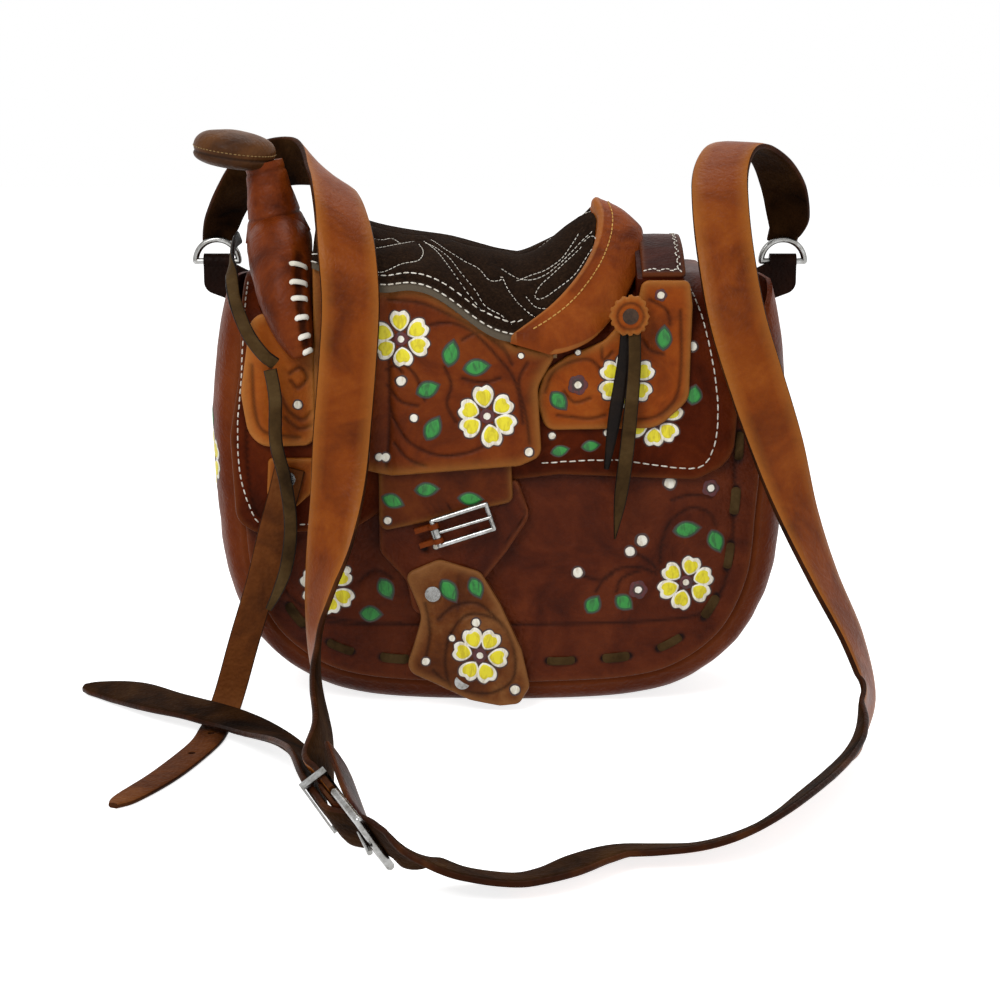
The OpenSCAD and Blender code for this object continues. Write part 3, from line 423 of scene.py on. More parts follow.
class Hide:
    """A cut sheet of leather: its outline, how it lies, and the lines tooled into it."""

    def __init__(self, outline, lie, thick=SHEET, lines=(), line_width=0.8, line_depth=0.5, swell=None):
        self.outline = spaced(np.vstack([outline, outline[:1]]), OUTLINE_PITCH)[:-1]
        self.lie = lie
        self.thick = thick
        self.lines = [smooth_line(line, 8) for line in lines]
        self.line_width = line_width
        self.line_depth = line_depth
        self.swell = swell or (lambda spots: np.zeros(len(spots)))

    def groove(self, spots):
        if not self.lines:
            return np.zeros(len(spots))
        return np.exp(-(distance_to(spots, self.lines) / self.line_width) ** 2)

    def relief(self, spots):
        return self.swell(spots) - self.line_depth * self.groove(spots)

    def on(self, spots, lift=0.0):
        """Where 2-D spots of the cut sheet come to be, lift millimetres above the grain side."""
        spots = np.atleast_2d(np.asarray(spots, float))
        return self.lie(spots, self.thick / 2 + self.relief(spots) + lift)

    def over(self, spots, lift):
        """The same, but bridging the tooled lines as thick paint does."""
        return self.lie(spots, self.thick / 2 + self.swell(spots) + lift)

    def sheet(self, name, skin, body, pitch=1.3, replaces=(), slot=None, back=None, rim_width=1.6):
        ring = np.vstack([self.outline, self.outline[:1]])
        edge = self.thick * 0.48
        spots = [mesh_spots(self.outline, pitch, pitch * 0.9)]
        for depth in (0.25 * edge, 0.65 * edge, edge * 1.2):
            for side in (1, -1):
                moved = inset_of(ring, side * depth)[:-1]
                moved = moved[inside(moved, self.outline)]
                spots.append(moved[distance_to(moved, [ring]) > 0.94 * depth])
        front, front_faces = triangles(self.outline, np.vstack(spots))
        rear, rear_faces = triangles(self.outline, mesh_spots(self.outline, REAR_PITCH, REAR_MARGIN))
        count = len(self.outline)
        depth = distance_to(front, [ring])
        depth[:count] = 0
        round_off = edge - np.sqrt(np.maximum(edge ** 2 - np.clip(edge - depth, 0, edge) ** 2, 0))
        top = self.lie(front, self.thick / 2 + self.relief(front) - round_off)
        base = self.lie(rear, np.full(len(rear), -self.thick / 2))
        start = len(front)
        faces = list(front_faces)
        faces += [(c + start, b + start, a + start) for a, b, c in rear_faces]
        faces += [(k, (k + 1) % count, start + (k + 1) % count, start + k) for k in range(count)]
        skin_of = [0] * len(front_faces) + [1] * len(rear_faces) + [0] * count
        marks = {"groove": self.groove(front), "rim": np.exp(-(depth / rim_width) ** 2)}
        return make(name, np.vstack([top, base]), faces, [skin, back or flesh_side], body, skin_of, marks,
                    55, replaces)


def facing_front(depth):
    """Lies flat with its grain side to the front, its outer face at that depth."""
    def lie(spots, out):
        return np.column_stack([spots[:, 0], depth + SHEET / 2 - out, spots[:, 1]])
    return lie


def facing_back(depth):
    """Lies flat with its grain side to the back, its outer face at that depth."""
    def lie(spots, out):
        return np.column_stack([spots[:, 0], depth - SHEET / 2 + out, spots[:, 1]])
    return lie


def wrinkle(spots, size, seed, stretch=(1.0, 1.0)):
    """Soft random height from -1 to 1 at each spot."""
    return np.array([noise.noise((x * stretch[0] / size, z * stretch[1] / size, seed)) for x, z in spots])


def crumpled(size, seed, height, sink=0.0):
    """The swell of a leather that is only wrinkled."""
    return lambda spots: wrinkle(spots, size, seed) * height + sink


# Pouch: one long gusset of tan leather bent round the bottom and both sides, its
# flanges turned in behind the panels, blocked wet so that it bulges outwards.
HALF_DEEP = 39.3
tan_side = leather("gusset_leather", (64, 20, 3), (104, 44, 14), (126, 60, 24), 1.2, 1.2, 0.42,
                   (112, 58, 28), 16.0, 0.04)
PANEL_INSET = 16.0
SIDE_OUTLINE = ((-127, 198), (-133, 168), (-136, 130), (-134, 92), (-130, 58), (-116, 28), (-92, 8),
                (-64, -1), (-20, -4))
GUSSET_SECTION = ((30, -39.3), (16, -39.3), (12, -37.8), (6, -32.3), (2, -20.3), (0, 0))
GUSSET_TOP = 197.0
GUSSET_POINTS = 260
PANEL_POINTS = 400
FLAP_GAP = 3.0
SKIRT_MID = -44.4
TURN_START = -6.0
TURN_END = 165.0
FLAP_TOP = 200.0

WHOLE_OUTLINE = SIDE_OUTLINE + tuple((-x, z) for x, z in SIDE_OUTLINE[::-1])
pouch_outline = smooth_line(WHOLE_OUTLINE, 8)


def under_flap_top(y):
    """Height of the flap leather's middle above depth y."""
    share = np.clip((TURN_START - y) / (TURN_START - SKIRT_MID), 0, 0.999)
    return TURN_END + (FLAP_TOP - TURN_END) * np.sqrt(1 - share ** 2)


def cut_at(line, height, count):
    """The stretch of the pouch's outline that stays below a height, evenly divided."""
    low = np.nonzero(line[:, 1] < height)[0]
    first, last = low[0], low[-1]
    parts = [line[first:last + 1]]
    if first > 0:
        share = (height - line[first][1]) / (line[first - 1][1] - line[first][1])
        parts.insert(0, (line[first] + (line[first - 1] - line[first]) * share)[None])
    if last < len(line) - 1:
        share = (height - line[last][1]) / (line[last + 1][1] - line[last][1])
        parts.append((line[last] + (line[last + 1] - line[last]) * share)[None])
    line = np.vstack(parts)
    along = run_along(line)
    return at_runs(line, along, np.linspace(0, along[-1], count))


def gusset_shell(inward):
    half = smooth_line(GUSSET_SECTION, 6)
    section = np.vstack([half, (half * (1, -1))[-2::-1]])
    lean = tangents(section)
    rows = []
    for (inset, y), (run_in, run_y) in zip(section, lean):
        inset, y = inset + inward * SHEET * run_y, y - inward * SHEET * run_in
        line = inset_of(pouch_outline, inset)
        line[:, 1] = np.maximum(line[:, 1], inward * SHEET)
        height = min(GUSSET_TOP, float(under_flap_top(y)) - FLAP_GAP)
        line = cut_at(line, height, GUSSET_POINTS)
        rows.append(np.column_stack([line[:, 0], np.full(len(line), y), line[:, 1]]))
    return np.array(rows)


def closed_shell(rows, cols):
    """Faces of a shell between two grids of points with so many rows and columns."""
    n = rows * cols
    faces = []
    for i in range(rows - 1):
        for k in range(cols - 1):
            a, b, c, d = i * cols + k, i * cols + k + 1, (i + 1) * cols + k + 1, (i + 1) * cols + k
            faces += [(a, b, c, d), (n + d, n + c, n + b, n + a)]
    border = list(range(cols)) + [i * cols + cols - 1 for i in range(1, rows)]
    border += [(rows - 1) * cols + k for k in range(cols - 2, -1, -1)]
    border += [i * cols for i in range(rows - 2, 0, -1)]
    for a, b in zip(border, border[1:] + border[:1]):
        faces.append((b, a, n + a, n + b))
    return faces


def shell(name, outer, inner, skin, marks, sharp, replaces, slot, body="flap"):
    """A piece between two grids of points."""
    points = np.vstack([outer.reshape(-1, 3), inner.reshape(-1, 3)])
    faces = closed_shell(*outer.shape[:2])
    return make(name, points, faces, [skin], body, None, marks, sharp, replaces)


def bulged(points):
    """The worn pouch's soft bumps, fading out towards its flanges and the table."""
    bumps = np.array([noise.noise((x / 34, y / 20, z / 34)) + 0.4 * noise.noise((x / 9, y / 14, z / 9))
                      for x, y, z in points])
    away = unit((points - (0, 0, 100)) * (1, 0.3, 1))
    fade = np.clip((HALF_DEEP - 1 - np.abs(points[:, 1])) / 8, 0, 1)
    off_floor = np.clip((points[:, 2] - 1.0) / 10, 0, 1)
    return points + away * (bumps * fade * off_floor * 0.8)[:, None]


outer = gusset_shell(0.0)
inner = gusset_shell(1.0)
outer = bulged(outer.reshape(-1, 3)).reshape(outer.shape)
rim = np.exp(-((HALF_DEEP - np.abs(outer[:, :, 1])) / 2.0) ** 2) * 0.4
shell("gusset_leather", outer, inner, tan_side, {"groove": (), "rim": rim}, 60, ("gusset",),
      "mahogany_leather", "root")


# Front and back panels: red-brown cowhide laced flat against the flanges, wrinkled
# by use. A sunk line runs inside the lacing, and stems are tooled between the flowers.
PANEL_FACE = -41.5
BACK_FACE = 41.5
FRONT_TOP = 160.0
BACK_TOP = 196.0
LACE_INSET = 26.0
LACE_PITCH = 26.0
LACE_LENGTH = 12.0


def lace_stitches(top):
    """Start and end of each visible lace stitch along the line inside the panel's edge."""
    line = inset_of(smooth_line(WHOLE_OUTLINE, 4), LACE_INSET)
    along = run_along(line)
    found = []
    for k in range(int((along[-1] - LACE_PITCH) // LACE_PITCH) + 1):
        spans = LACE_PITCH * (k + 0.6) + LACE_LENGTH * np.array([0.0, 1.0])
        ends = at_runs(line, along, spans)
        if ends[:, 1].max() < top:
            found.append(ends)
    return found


def panel_outline(height):
    return cut_at(inset_of(pouch_outline, PANEL_INSET), height, PANEL_POINTS)


FRONT_STEMS = (((72.4, 64.7), (65.0, 67.5), (55.7, 67.1), (48.3, 62.3), (44.7, 55.6)),
               ((74.3, 65.1), (68.6, 70.9), (63.0, 74.2)),
               ((74.2, 69.9), (75.0, 80.4), (79.5, 89.9), (87.7, 95.5), (96.1, 93.7), (99.9, 87.5)),
               ((36.2, 64.2), (46.5, 61.3), (52.0, 64.2)), ((54.0, 55.6), (56.7, 62.3), (65.0, 66.1)),
               ((79.4, 99.3), (87.6, 101.7), (97.8, 100.7)), ((-90, 43), (-70, 40), (-46, 40.5)),
               ((-66, 60), (-58, 66), (-50, 62)))
FRONT_LOW_LINE = ((-104, 60), (-88, 46), (-60, 40.5), (-20, 39.8), (30, 40.2), (74.6, 42.1), (96, 47),
                  (106, 66), (108, 100), (107, 150))
BACK_LINE = ((-102, 150), (-104, 100), (-100, 62), (-84, 46), (-50, 39), (0, 38), (50, 39), (84, 46),
             (100, 62), (104, 100), (102, 150))


def panel_swell(spots):
    """Creases of the worn leather, and a low swell where nothing hangs over it."""
    x, z = spots[:, 0], spots[:, 1]
    open_side = np.exp(-(((x - 62) / 42) ** 2 + ((z - 68) / 34) ** 2))
    folds = wrinkle(spots, 16, 3.1, (0.6, 1.4)) * 0.5 + wrinkle(spots, 7, 8.4, (0.7, 1.3)) * 0.22
    return 1.6 * open_side + folds * (0.35 + 0.65 * open_side)


class LacedPanel(Hide):
    """A panel with a pair of slots sunk at the ends of each lace stitch and darkened there with painted
    shade.
    """

    slots = np.zeros((0, 2))
    slot_radius = 2.0

    def groove(self, spots):
        lines = super().groove(spots)
        for spot in self.slots:
            away = np.linalg.norm(spots - spot, axis=1)
            lines = np.maximum(lines, 1.6 * np.exp(-(away / self.slot_radius) ** 4))
        return lines


front_stitches = lace_stitches(FRONT_TOP - 3.0)
front = LacedPanel(panel_outline(FRONT_TOP), facing_front(PANEL_FACE), SHEET,
                   FRONT_STEMS + (FRONT_LOW_LINE,), 0.8, 0.55, panel_swell)
front.slots = np.vstack(front_stitches)
front.sheet("front_panel_leather", red_hide, "root", 1.35, ("front_panel",), "mahogany_leather")
back_stitches = lace_stitches(BACK_TOP - 4.0)
back = LacedPanel(panel_outline(BACK_TOP), facing_back(BACK_FACE), SHEET, [BACK_LINE], 0.8, 0.5,
                  lambda spots: wrinkle(spots, 26, 5.2) * 0.5 + wrinkle(spots, 9, 2.2) * 0.2)
back.slots = np.vstack(back_stitches)
back.sheet("back_panel_leather", brown_hide, "root", 1.8, ("back_panel",), "brown_leather")


# Straps, laces and thongs: strips cut from hide and skived at the edges. The grain
# side is smooth and crowned, the flesh side is dark and rough, the edges burnished.
olive_lace = leather("olive_lace", (44, 30, 14), (78, 58, 32), (98, 78, 48), 1.6, 0.4, 0.55,
                     wax=0.04)
burnished = leather("burnished_edge", (34, 16, 6), (58, 28, 10), (92, 52, 22), 1.0, 0.2, 0.40,
                     wax=0.04)
ACROSS_STRIP = 9


def strip(name, route, thick, steps, body, skins, crown=0.25, face_out=1, replaces=(), ripple=0.0,
          pitch=2.0, rough_from=None):
    """A flat strip along rows of place, direction across it, and width in millimetres.

    From the row rough_from on, the side that faces out is the rough one.
    """
    places = smooth_line([row[0] for row in route], steps)
    sides = smooth_line([row[1] for row in route], steps)
    widths = smooth_line([(row[2], 0.0) for row in route], steps)[:, :1]
    run = run_along(places)
    count = max(3, int(run[-1] / pitch))
    along = np.linspace(0, run[-1], count)
    rough_run = run[-1] + 1 if rough_from is None else run[rough_from * steps]
    rows = at_runs(np.hstack([places, sides, widths]), run, along)
    centre, side, width = rows[:, :3], rows[:, 3:6], rows[:, 6]
    ahead = tangents(centre)
    side = unit(side - (side * ahead).sum(1)[:, None] * ahead)
    up = np.cross(side, ahead) * face_out
    share = np.linspace(-1, 1, ACROSS_STRIP)
    corner = min(0.45 * thick, 0.9)
    loops = []
    for k in range(count):
        half = width[k] / 2
        inset = half - corner * 0.5
        wave = ripple * noise.noise((along[k] / 9.0, 0.3 + len(name), 0.7)) if ripple else 0.0
        top = [(s * inset, thick / 2 + crown * (1 - s * s) - (0.3 * corner if abs(s) == 1 else 0)
                + wave * (0.5 + 0.5 * math.cos(3 * s + along[k] / 13))) for s in share]
        low = [(s * inset, -thick / 2 + (0.3 * corner if abs(s) == 1 else 0)) for s in share[::-1]]
        section = top + [(half, thick * 0.18), (half, -thick * 0.18)] + low
        section += [(-half, -thick * 0.18), (-half, thick * 0.18)]
        loops.append([centre[k] + a * side[k] + b * up[k] for a, b in section])
    size = len(loops[0])
    faces = []
    skin_of = []
    for k in range(count - 1):
        for j in range(size):
            n = (j + 1) % size
            faces.append((k * size + j, k * size + n, (k + 1) * size + n, (k + 1) * size + j))
            grain_skin = 1 if along[k] > rough_run else 0
            skin_of.append(grain_skin if j < ACROSS_STRIP - 1
                           else 1 if ACROSS_STRIP + 2 <= j < 2 * ACROSS_STRIP + 1 else 2)
    last = 2 * ACROSS_STRIP + 1
    end = [(j, j + 1, last - j - 1, last - j) for j in range(ACROSS_STRIP - 1)]
    end += [tuple(range(ACROSS_STRIP - 1, ACROSS_STRIP + 3)), (last, last + 1, last + 2, 0)]
    for k in (0, count - 1):
        faces += [tuple(k * size + m for m in corners) for corners in end]
        skin_of += [2] * len(end)
    rim = np.zeros((count, size))
    rim[:, [0, ACROSS_STRIP - 1]] = 1.0
    rim[:, [1, ACROSS_STRIP - 2]] = 0.35
    return make(name, np.vstack(loops), faces, skins, body, skin_of,
                {"groove": (), "rim": rim}, 60, replaces)


def laces(name, panel, stitches, body, replaces, out_y):
    """Every lace stitch of a panel as one piece: each comes out of one slot and goes into the next."""
    parts = []
    for number, (start, end) in enumerate(stitches):
        shares = np.array([-0.10, 0.0, 0.14, 0.35, 0.65, 0.86, 1.0, 1.10])
        spots = start + shares[:, None] * (end - start)
        lifts = np.array([-1.9, -0.9, 0.35, 0.75, 0.75, 0.35, -0.9, -1.9])
        points = panel.lie(spots, panel.thick / 2 + lifts)
        turn = (end - start) / np.linalg.norm(end - start)
        across = (-turn[1] * out_y, 0.0, turn[0] * out_y)
        width = 4.4 - 0.5 * (number % 2)
        parts.append(strip(f"{name}_{number}", [(p, across, width) for p in points], 1.0, 4, None,
                           [olive_lace] * 3, 0.3, 1, pitch=0.9))
    return joined(name, parts, body, replaces)


def joined(name, parts, body, replaces=()):
    """Several meshes of one kind made into one piece."""
    with bpy.context.temp_override(active_object=parts[0], selected_editable_objects=parts):
        bpy.ops.object.join()
    whole = parts[0]
    whole.name = name
    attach(whole, body)
    if replaces:
        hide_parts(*replaces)
    return whole


laces("front_panel_lace", front, front_stitches, "root", ("front_lacing",), 1)
laces("back_panel_lace", back, back_stitches, "root", ("back_lacing",), -1)


# Skirt: the dark leather of the flap. It lies flat over the top of the bag, turns
# down over its front in one long curve and carries the saddle. White thread edges it.
TOP_RUN = 52.0
turn_angles = np.linspace(0, math.pi / 2, 200)
turn_places = np.column_stack([TURN_START - (TURN_START - SKIRT_MID) * np.sin(turn_angles),
                               TURN_END + (FLAP_TOP - TURN_END) * np.cos(turn_angles)])
turn_run = run_along(turn_places[::-1])
TURN_LENGTH = float(turn_run[-1])


def thread(name, dark, pale):
    """Twisted sewing thread."""
    made, dye = new_skin(name)
    twist = dye.noise(900.0, 2.0)
    dye.surface({"Base Color": dye.ramp(twist, (0.3, srgb(*dark)), (0.7, srgb(*pale))),
                 "Roughness": twist * 0.2 + 0.6, "Normal": dye.bump(twist, 0.4, 0.0003)})
    return made


white_thread = thread("white_thread", (196, 184, 166), (244, 240, 230))


def over_flap(spots, out):
    """Lies along the flap: up the front, round the turn and back over the top."""
    x, v = spots[:, 0], spots[:, 1]
    part = np.clip(v - TURN_END, 0, TURN_LENGTH)
    angle = np.interp(part, turn_run, turn_angles[::-1])
    y = TURN_START - (TURN_START - SKIRT_MID) * np.sin(angle)
    z = TURN_END + (FLAP_TOP - TURN_END) * np.cos(angle)
    lean = unit(np.column_stack([(FLAP_TOP - TURN_END) * np.sin(angle),
                                 (TURN_START - SKIRT_MID) * np.cos(angle)]))
    z = np.where(v < TURN_END, v, z)
    y = np.where(v > TURN_END + TURN_LENGTH, y + v - TURN_END - TURN_LENGTH, y)
    return np.column_stack([x, y - lean[:, 0] * out, z + lean[:, 1] * out])


FLAP_END = TURN_END + TURN_LENGTH + TOP_RUN
skirt_outline = rounded([(-118, FLAP_END, 6), (-118, 162, 20), (-123.5, 130, 30), (-121.5, 90, 10),
                         (-112, 84, 10),
                         (-68, 86, 20), (-40, 104, 20), (27, 112, 20), (90, 109.5, 12), (107, 118, 16),
                         (109, 150, 40), (96, 205, 20), (96, FLAP_END, 6)])
skirt = Hide(skirt_outline, over_flap, SHEET, [((-115, 150), (-116, 120), (-113, 96), (-106, 90))], 0.9, 0.4,
             crumpled(22, 1.7, 0.35))
skirt_hide = leather("skirt_hide", (52, 15, 2), (86, 30, 6), (108, 44, 12), 0.9, 0.8, 0.38,
                     (104, 54, 26), wax=0.04)
skirt.sheet("skirt_leather", skirt_hide, "flap", 1.7, ("skirt",), "dark_leather")


def ring_faces(rings, sides):
    """Faces of a skin over rings of points, with its two ends filled."""
    faces = [(i * sides + j, i * sides + (j + 1) % sides, (i + 1) * sides + (j + 1) % sides,
              (i + 1) * sides + j)
             for i in range(rings - 1) for j in range(sides)]
    return faces + [tuple(range(sides))[::-1], tuple((rings - 1) * sides + j for j in range(sides))]


BEAD_SIDES = 6
BEAD_RINGS = ((-0.5, 0.3), (-0.34, 0.9), (0.34, 0.9), (0.5, 0.3))


def beads(name, places, ahead, normals, length, width, thread, body):
    """Stitches: one short rounded bar for each place."""
    ring = [(math.cos(a), math.sin(a)) for a in turns_of(BEAD_SIDES)]
    bar = np.array([(t, r * a, r * b) for t, r in BEAD_RINGS for a, b in ring])
    bar *= (length, width / 2, width / 2.4)
    points = np.vstack([p + bar @ np.array(axes) for p, *axes in
                        zip(places, ahead, np.cross(normals, ahead), normals)])
    bead = ring_faces(len(BEAD_RINGS), BEAD_SIDES)
    faces = [tuple(k * len(bar) + corner for corner in face) for k in range(len(places)) for face in bead]
    return make(name, points, faces, [thread], body, sharp=80)


def sewn(name, hide, line, body, pitch=3.2, length=2.5, width=0.75, thread=white_thread, lift=0.15):
    """A row of stitches along a line drawn on a leather, with every stitch a little uneven."""
    spots = spaced(smooth_line(line, 10), pitch)
    jitter = np.array([noise.noise((k * 0.77, len(name), 0.4)) for k in range(len(spots))])
    run = tangents(spots)
    spots = spots + jitter[:, None] * 0.25 * left_of(run)
    places = hide.on(spots, lift)
    ahead = unit(hide.on(spots + run * 0.2, lift) - places)
    side = hide.on(spots + 0.2 * left_of(run), lift) - places
    return beads(name, places, ahead, unit(np.cross(ahead, side)), length, width, thread, body)


sewn("skirt_left_stitching", skirt,
     [(-116, 205), (-116.5, 175), (-118.4, 149.1), (-119.6, 137.5), (-119.9, 123.6),
      (-118.8, 109.6), (-115.4, 97.8), (-110.1, 88.9), (-96.7, 88.4), (-78.3, 89.3),
      (-66, 92)], "flap", 3.6)
sewn("skirt_right_stitching", skirt,
     [(86, 205), (91, 188), (97.7, 158.3), (99.5, 137.5), (96.6, 121.2), (89.4, 115.2),
      (73.3, 116.1), (50.4, 118.9), (20.6, 117.5)], "flap", 4.2, 3.2)


# Paint: the flowers, leaves and dots are brushed on thickly by hand over tooled
# outlines, white first and yellow over it, with a maroon eye in each flower.
PETAL_HALF = ((0.0, 0.0), (0.10, 0.20), (0.34, 0.42), (0.62, 0.50), (0.84, 0.42), (0.97, 0.24), (0.90, 0.0))
LEAF_HALF = ((0.0, 0.0), (0.14, 0.30), (0.42, 0.50), (0.74, 0.36), (1.0, 0.0))


def paint_coat(name, deep, full):
    made, dye = new_skin(name)
    brush = dye.noise(420.0, 4.0, 0.6, 0.8, (1.0, 1.0, 0.35))
    dye.surface({"Base Color": dye.ramp(brush, (0.34, srgb(*deep)), (0.56, srgb(*full))),
                 "Roughness": brush * 0.3 + 0.35, "Normal": dye.bump(brush, 0.5, 0.0004)})
    return made


PAINTS = [paint_coat("tooled_outline", (38, 12, 8), (54, 20, 12)),
          paint_coat("white_paint", (214, 202, 178), (250, 246, 232)),
          paint_coat("yellow_paint", (206, 186, 20), (240, 226, 40)),
          paint_coat("green_paint", (22, 92, 34), (42, 140, 54)),
          paint_coat("maroon_paint", (44, 10, 14), (80, 18, 22)),
          paint_coat("deep_green_paint", (10, 50, 20), (20, 74, 32))]
OUTLINE, WHITE, YELLOW, GREEN, MAROON, DEEP_GREEN = range(6)


def shape(half, length, width, foot, angle):
    """A petal or leaf from its half outline, growing from its foot at an angle in degrees."""
    half = smooth_line(half, 4)
    edge = np.vstack([half, (half * (1, -1))[-2:0:-1]]) * (length, width)
    c, s = math.cos(math.radians(angle)), math.sin(math.radians(angle))
    return np.array(foot) + edge @ np.array([[c, s], [-s, c]])


def round_spot(centre, radius, seed, lobes=0, count=16):
    """A hand-dabbed spot, uneven or with lobes."""
    angles = np.linspace(0, 2 * math.pi, count + 1)[:-1]
    uneven = np.array([0.14 * noise.noise((math.cos(a) * 1.3, math.sin(a) * 1.3, seed)) for a in angles])
    reach = radius * (1 + uneven) * ((0.84 + 0.16 * np.abs(np.cos(lobes * angles / 2))) if lobes else 1.0)
    return np.array(centre) + np.column_stack([np.cos(angles), np.sin(angles)]) * reach[:, None]


def shrunk(edge, share, drift=(0.0, 0.0)):
    centre = edge.mean(0)
    return centre + (edge - centre) * share + np.array(drift)


def flower(centre, radius, turn=90.0, petals=range(6)):
    coats = []
    for k in petals:
        angle = turn + 60 * k + 5 * math.sin(k * 2.3 + centre[0])
        out = np.array([math.cos(math.radians(angle)), math.sin(math.radians(angle))])
        foot = np.array(centre) + out * radius * 0.27
        size = 0.73 + 0.05 * math.sin(k * 1.7 + centre[1])
        petal = shape(PETAL_HALF, radius * size, radius * 0.68, foot, angle)
        coats += [(shrunk(petal, 1.14), 0.10, OUTLINE), (petal, 0.24, WHITE),
                  (shrunk(petal, 0.74, -0.05 * radius * out), 0.40, YELLOW)]
    coats += [(round_spot(centre, radius * 0.25, centre[0]), 0.30, MAROON),
              (round_spot(centre, radius * 0.12, centre[1]), 0.55, WHITE)]
    return coats


def leaf(centre, angle, length=11.0, width=7.4):
    along = np.array([math.cos(math.radians(angle)), math.sin(math.radians(angle))])
    blade = shape(LEAF_HALF, length, width, np.array(centre) - along * length / 2, angle)
    return [(shrunk(blade, 1.14), 0.10, OUTLINE), (blade, 0.22, DEEP_GREEN),
            (shrunk(blade, 0.82), 0.34, GREEN)]


def dot(centre, radius=1.7):
    return [(round_spot(centre, radius * 1.35, centre[0] + 3.0), 0.10, OUTLINE),
            (round_spot(centre, radius, centre[0]), 0.40, WHITE)]


def rosette_spot(centre, radius=5.0):
    return [(round_spot(centre, radius, 1.0, 5, 30), 0.22, MAROON),
            (round_spot(centre, radius * 0.62, 2.0), 0.32, OUTLINE),
            (round_spot(centre, 1.7, centre[0]), 0.55, WHITE)]


def painted(name, hide, body, coats):
    """All the paint on one leather, each dab a thin closed dome that follows the leather under it."""
    points = []
    faces = []
    skin_of = []
    for edge, lift, paint in coats:
        n = len(edge)
        start = sum(len(p) for p in points)
        centre = edge.mean(0)[None]
        rings = [centre + (edge - centre) * share for share in (1.0, 0.93, 0.7, 0.4)]
        spots = np.vstack(rings + [centre, edge, centre])
        lifts = np.concatenate([np.full(n, lift * 0.4), np.full(3 * n, lift), [lift * 1.1],
                                np.full(n, -0.35), [-0.35]])
        points.append(hide.over(spots, lifts))
        for j in range(n):
            m = (j + 1) % n
            faces += [(start + r * n + j, start + r * n + m, start + (r + 1) * n + m,
                       start + (r + 1) * n + j)
                      for r in range(3)]
            faces += [(start + 3 * n + j, start + 3 * n + m, start + 4 * n),
                      (start + m, start + j, start + 4 * n + 1 + j, start + 4 * n + 1 + m),
                      (start + 4 * n + 1 + m, start + 4 * n + 1 + j, start + 5 * n + 1)]
            skin_of += [paint] * 6
    return make(name, np.vstack(points), faces, PAINTS, body, skin_of, sharp=70)


class LeftSide(Hide):
    """The gusset's left side, as a leather to paint on: spots are given as y and z."""

    def __init__(self):
        super().__init__(rounded([(-36, 90, 0), (-2, 90, 0), (-2, 150, 0), (-36, 150, 0)]), self.lie_on_side)

    def lie_on_side(self, spots, out):
        y, z = spots[:, 0], spots[:, 1]
        left = pouch_outline[:len(pouch_outline) // 2][::-1]
        section = smooth_line(GUSSET_SECTION, 6)
        inset, ahead, behind = [np.interp(y + step, section[:, 1], section[:, 0]) for step in (0, 0.5, -0.5)]
        away = unit(np.column_stack([np.full(len(y), -1.0), ahead - behind, np.zeros(len(y))]))
        face = bulged(np.column_stack([np.interp(z, left[:, 1], left[:, 0]) + inset, y, z]))
        return face + away * (out - SHEET / 2)[:, None]


painted("gusset_paint", LeftSide(), "root",
        flower((-18.0, 114.8), 14.0, 88) + leaf((-17.5, 134.5), 92, 10.5, 8.0))
painted("front_panel_paint", front, "root",
        flower((86.4, 60.4), 13.2, 80) + flower((-80.4, 57.5), 13.0, 95)
        + leaf((86.5, 85.6), 8, 12.5) + leaf((100.0, 79.9), -68) + leaf((57.7, 50.8), -38, 9.5)
        + leaf((43.3, 49.8), 58, 9.5) + leaf((-60.1, 45.0), -4, 10.5) + leaf((-53.0, 57.0), -62, 11)
        + rosette_spot((64.2, 57.0), 4.6) + rosette_spot((97.2, 105.0), 4.2) + dot((60.3, 75.2), 2.3)
        + dot((65.7, 80.4), 2.6) + dot((36.2, 65.1), 2.4) + dot((78.3, 107.3), 2.6) + dot((-71, 66), 1.8)
        + dot((-91, 61), 1.8))
painted("skirt_paint", skirt, "flap",
        flower((70.7, 137.5), 13.0, 84) + leaf((88.3, 149.1), 80, 9) + leaf((27.5, 123.1), 14, 8.5, 5)
        + leaf((41.6, 125.4), 8, 8.5, 5) + dot((87.5, 171.1), 2.0) + dot((23.8, 130.1), 1.6)
        + dot((48.9, 131.5), 1.5))


# Jockeys: the saddle's side leathers, tooled with scrolls. The seat jockey is the
# largest and lies on top. Their edges are bevelled and rubbed pale with use.
SEAT_JOCKEY_FACE = -53.0
JOCKEY_FACE = -48.0
FENDER_FACE = -50.5
SEAT_RIDGE = smooth_line([(-92, 236), (-82, 232), (-58, 223), (-23, 217), (9, 209.5), (21, 212)], 6)
RIM_LINE = np.array([(-56, 7, 178.5), (-50, 25, 191.5), (-38, 38, 205), (-25, 45, 217), (-12, 47, 228),
                     (0, 44.5, 234), (12, 48, 230), (25, 50, 221), (36, 49, 212)], float)
TROUGH_X = 8.0
PAD_THICK = 6.0


def eased(share):
    share = np.clip(share, 0, 1)
    return share * share * (3 - 2 * share)


def side_drop(x, y):
    steep = 14.5 + 13.5 * eased((x + 37) / 38) + 3 * eased((-39 - x) / 15)
    return np.where(y < 0, steep * np.abs(np.minimum(y, 0) / 55) ** 2.2, 5 * (np.maximum(y, 0) / 36) ** 2)


def rim_x(y):
    return np.interp(y, RIM_LINE[:, 0], RIM_LINE[:, 1])


def rim_z(y):
    return np.interp(y, RIM_LINE[:, 0], RIM_LINE[:, 2])


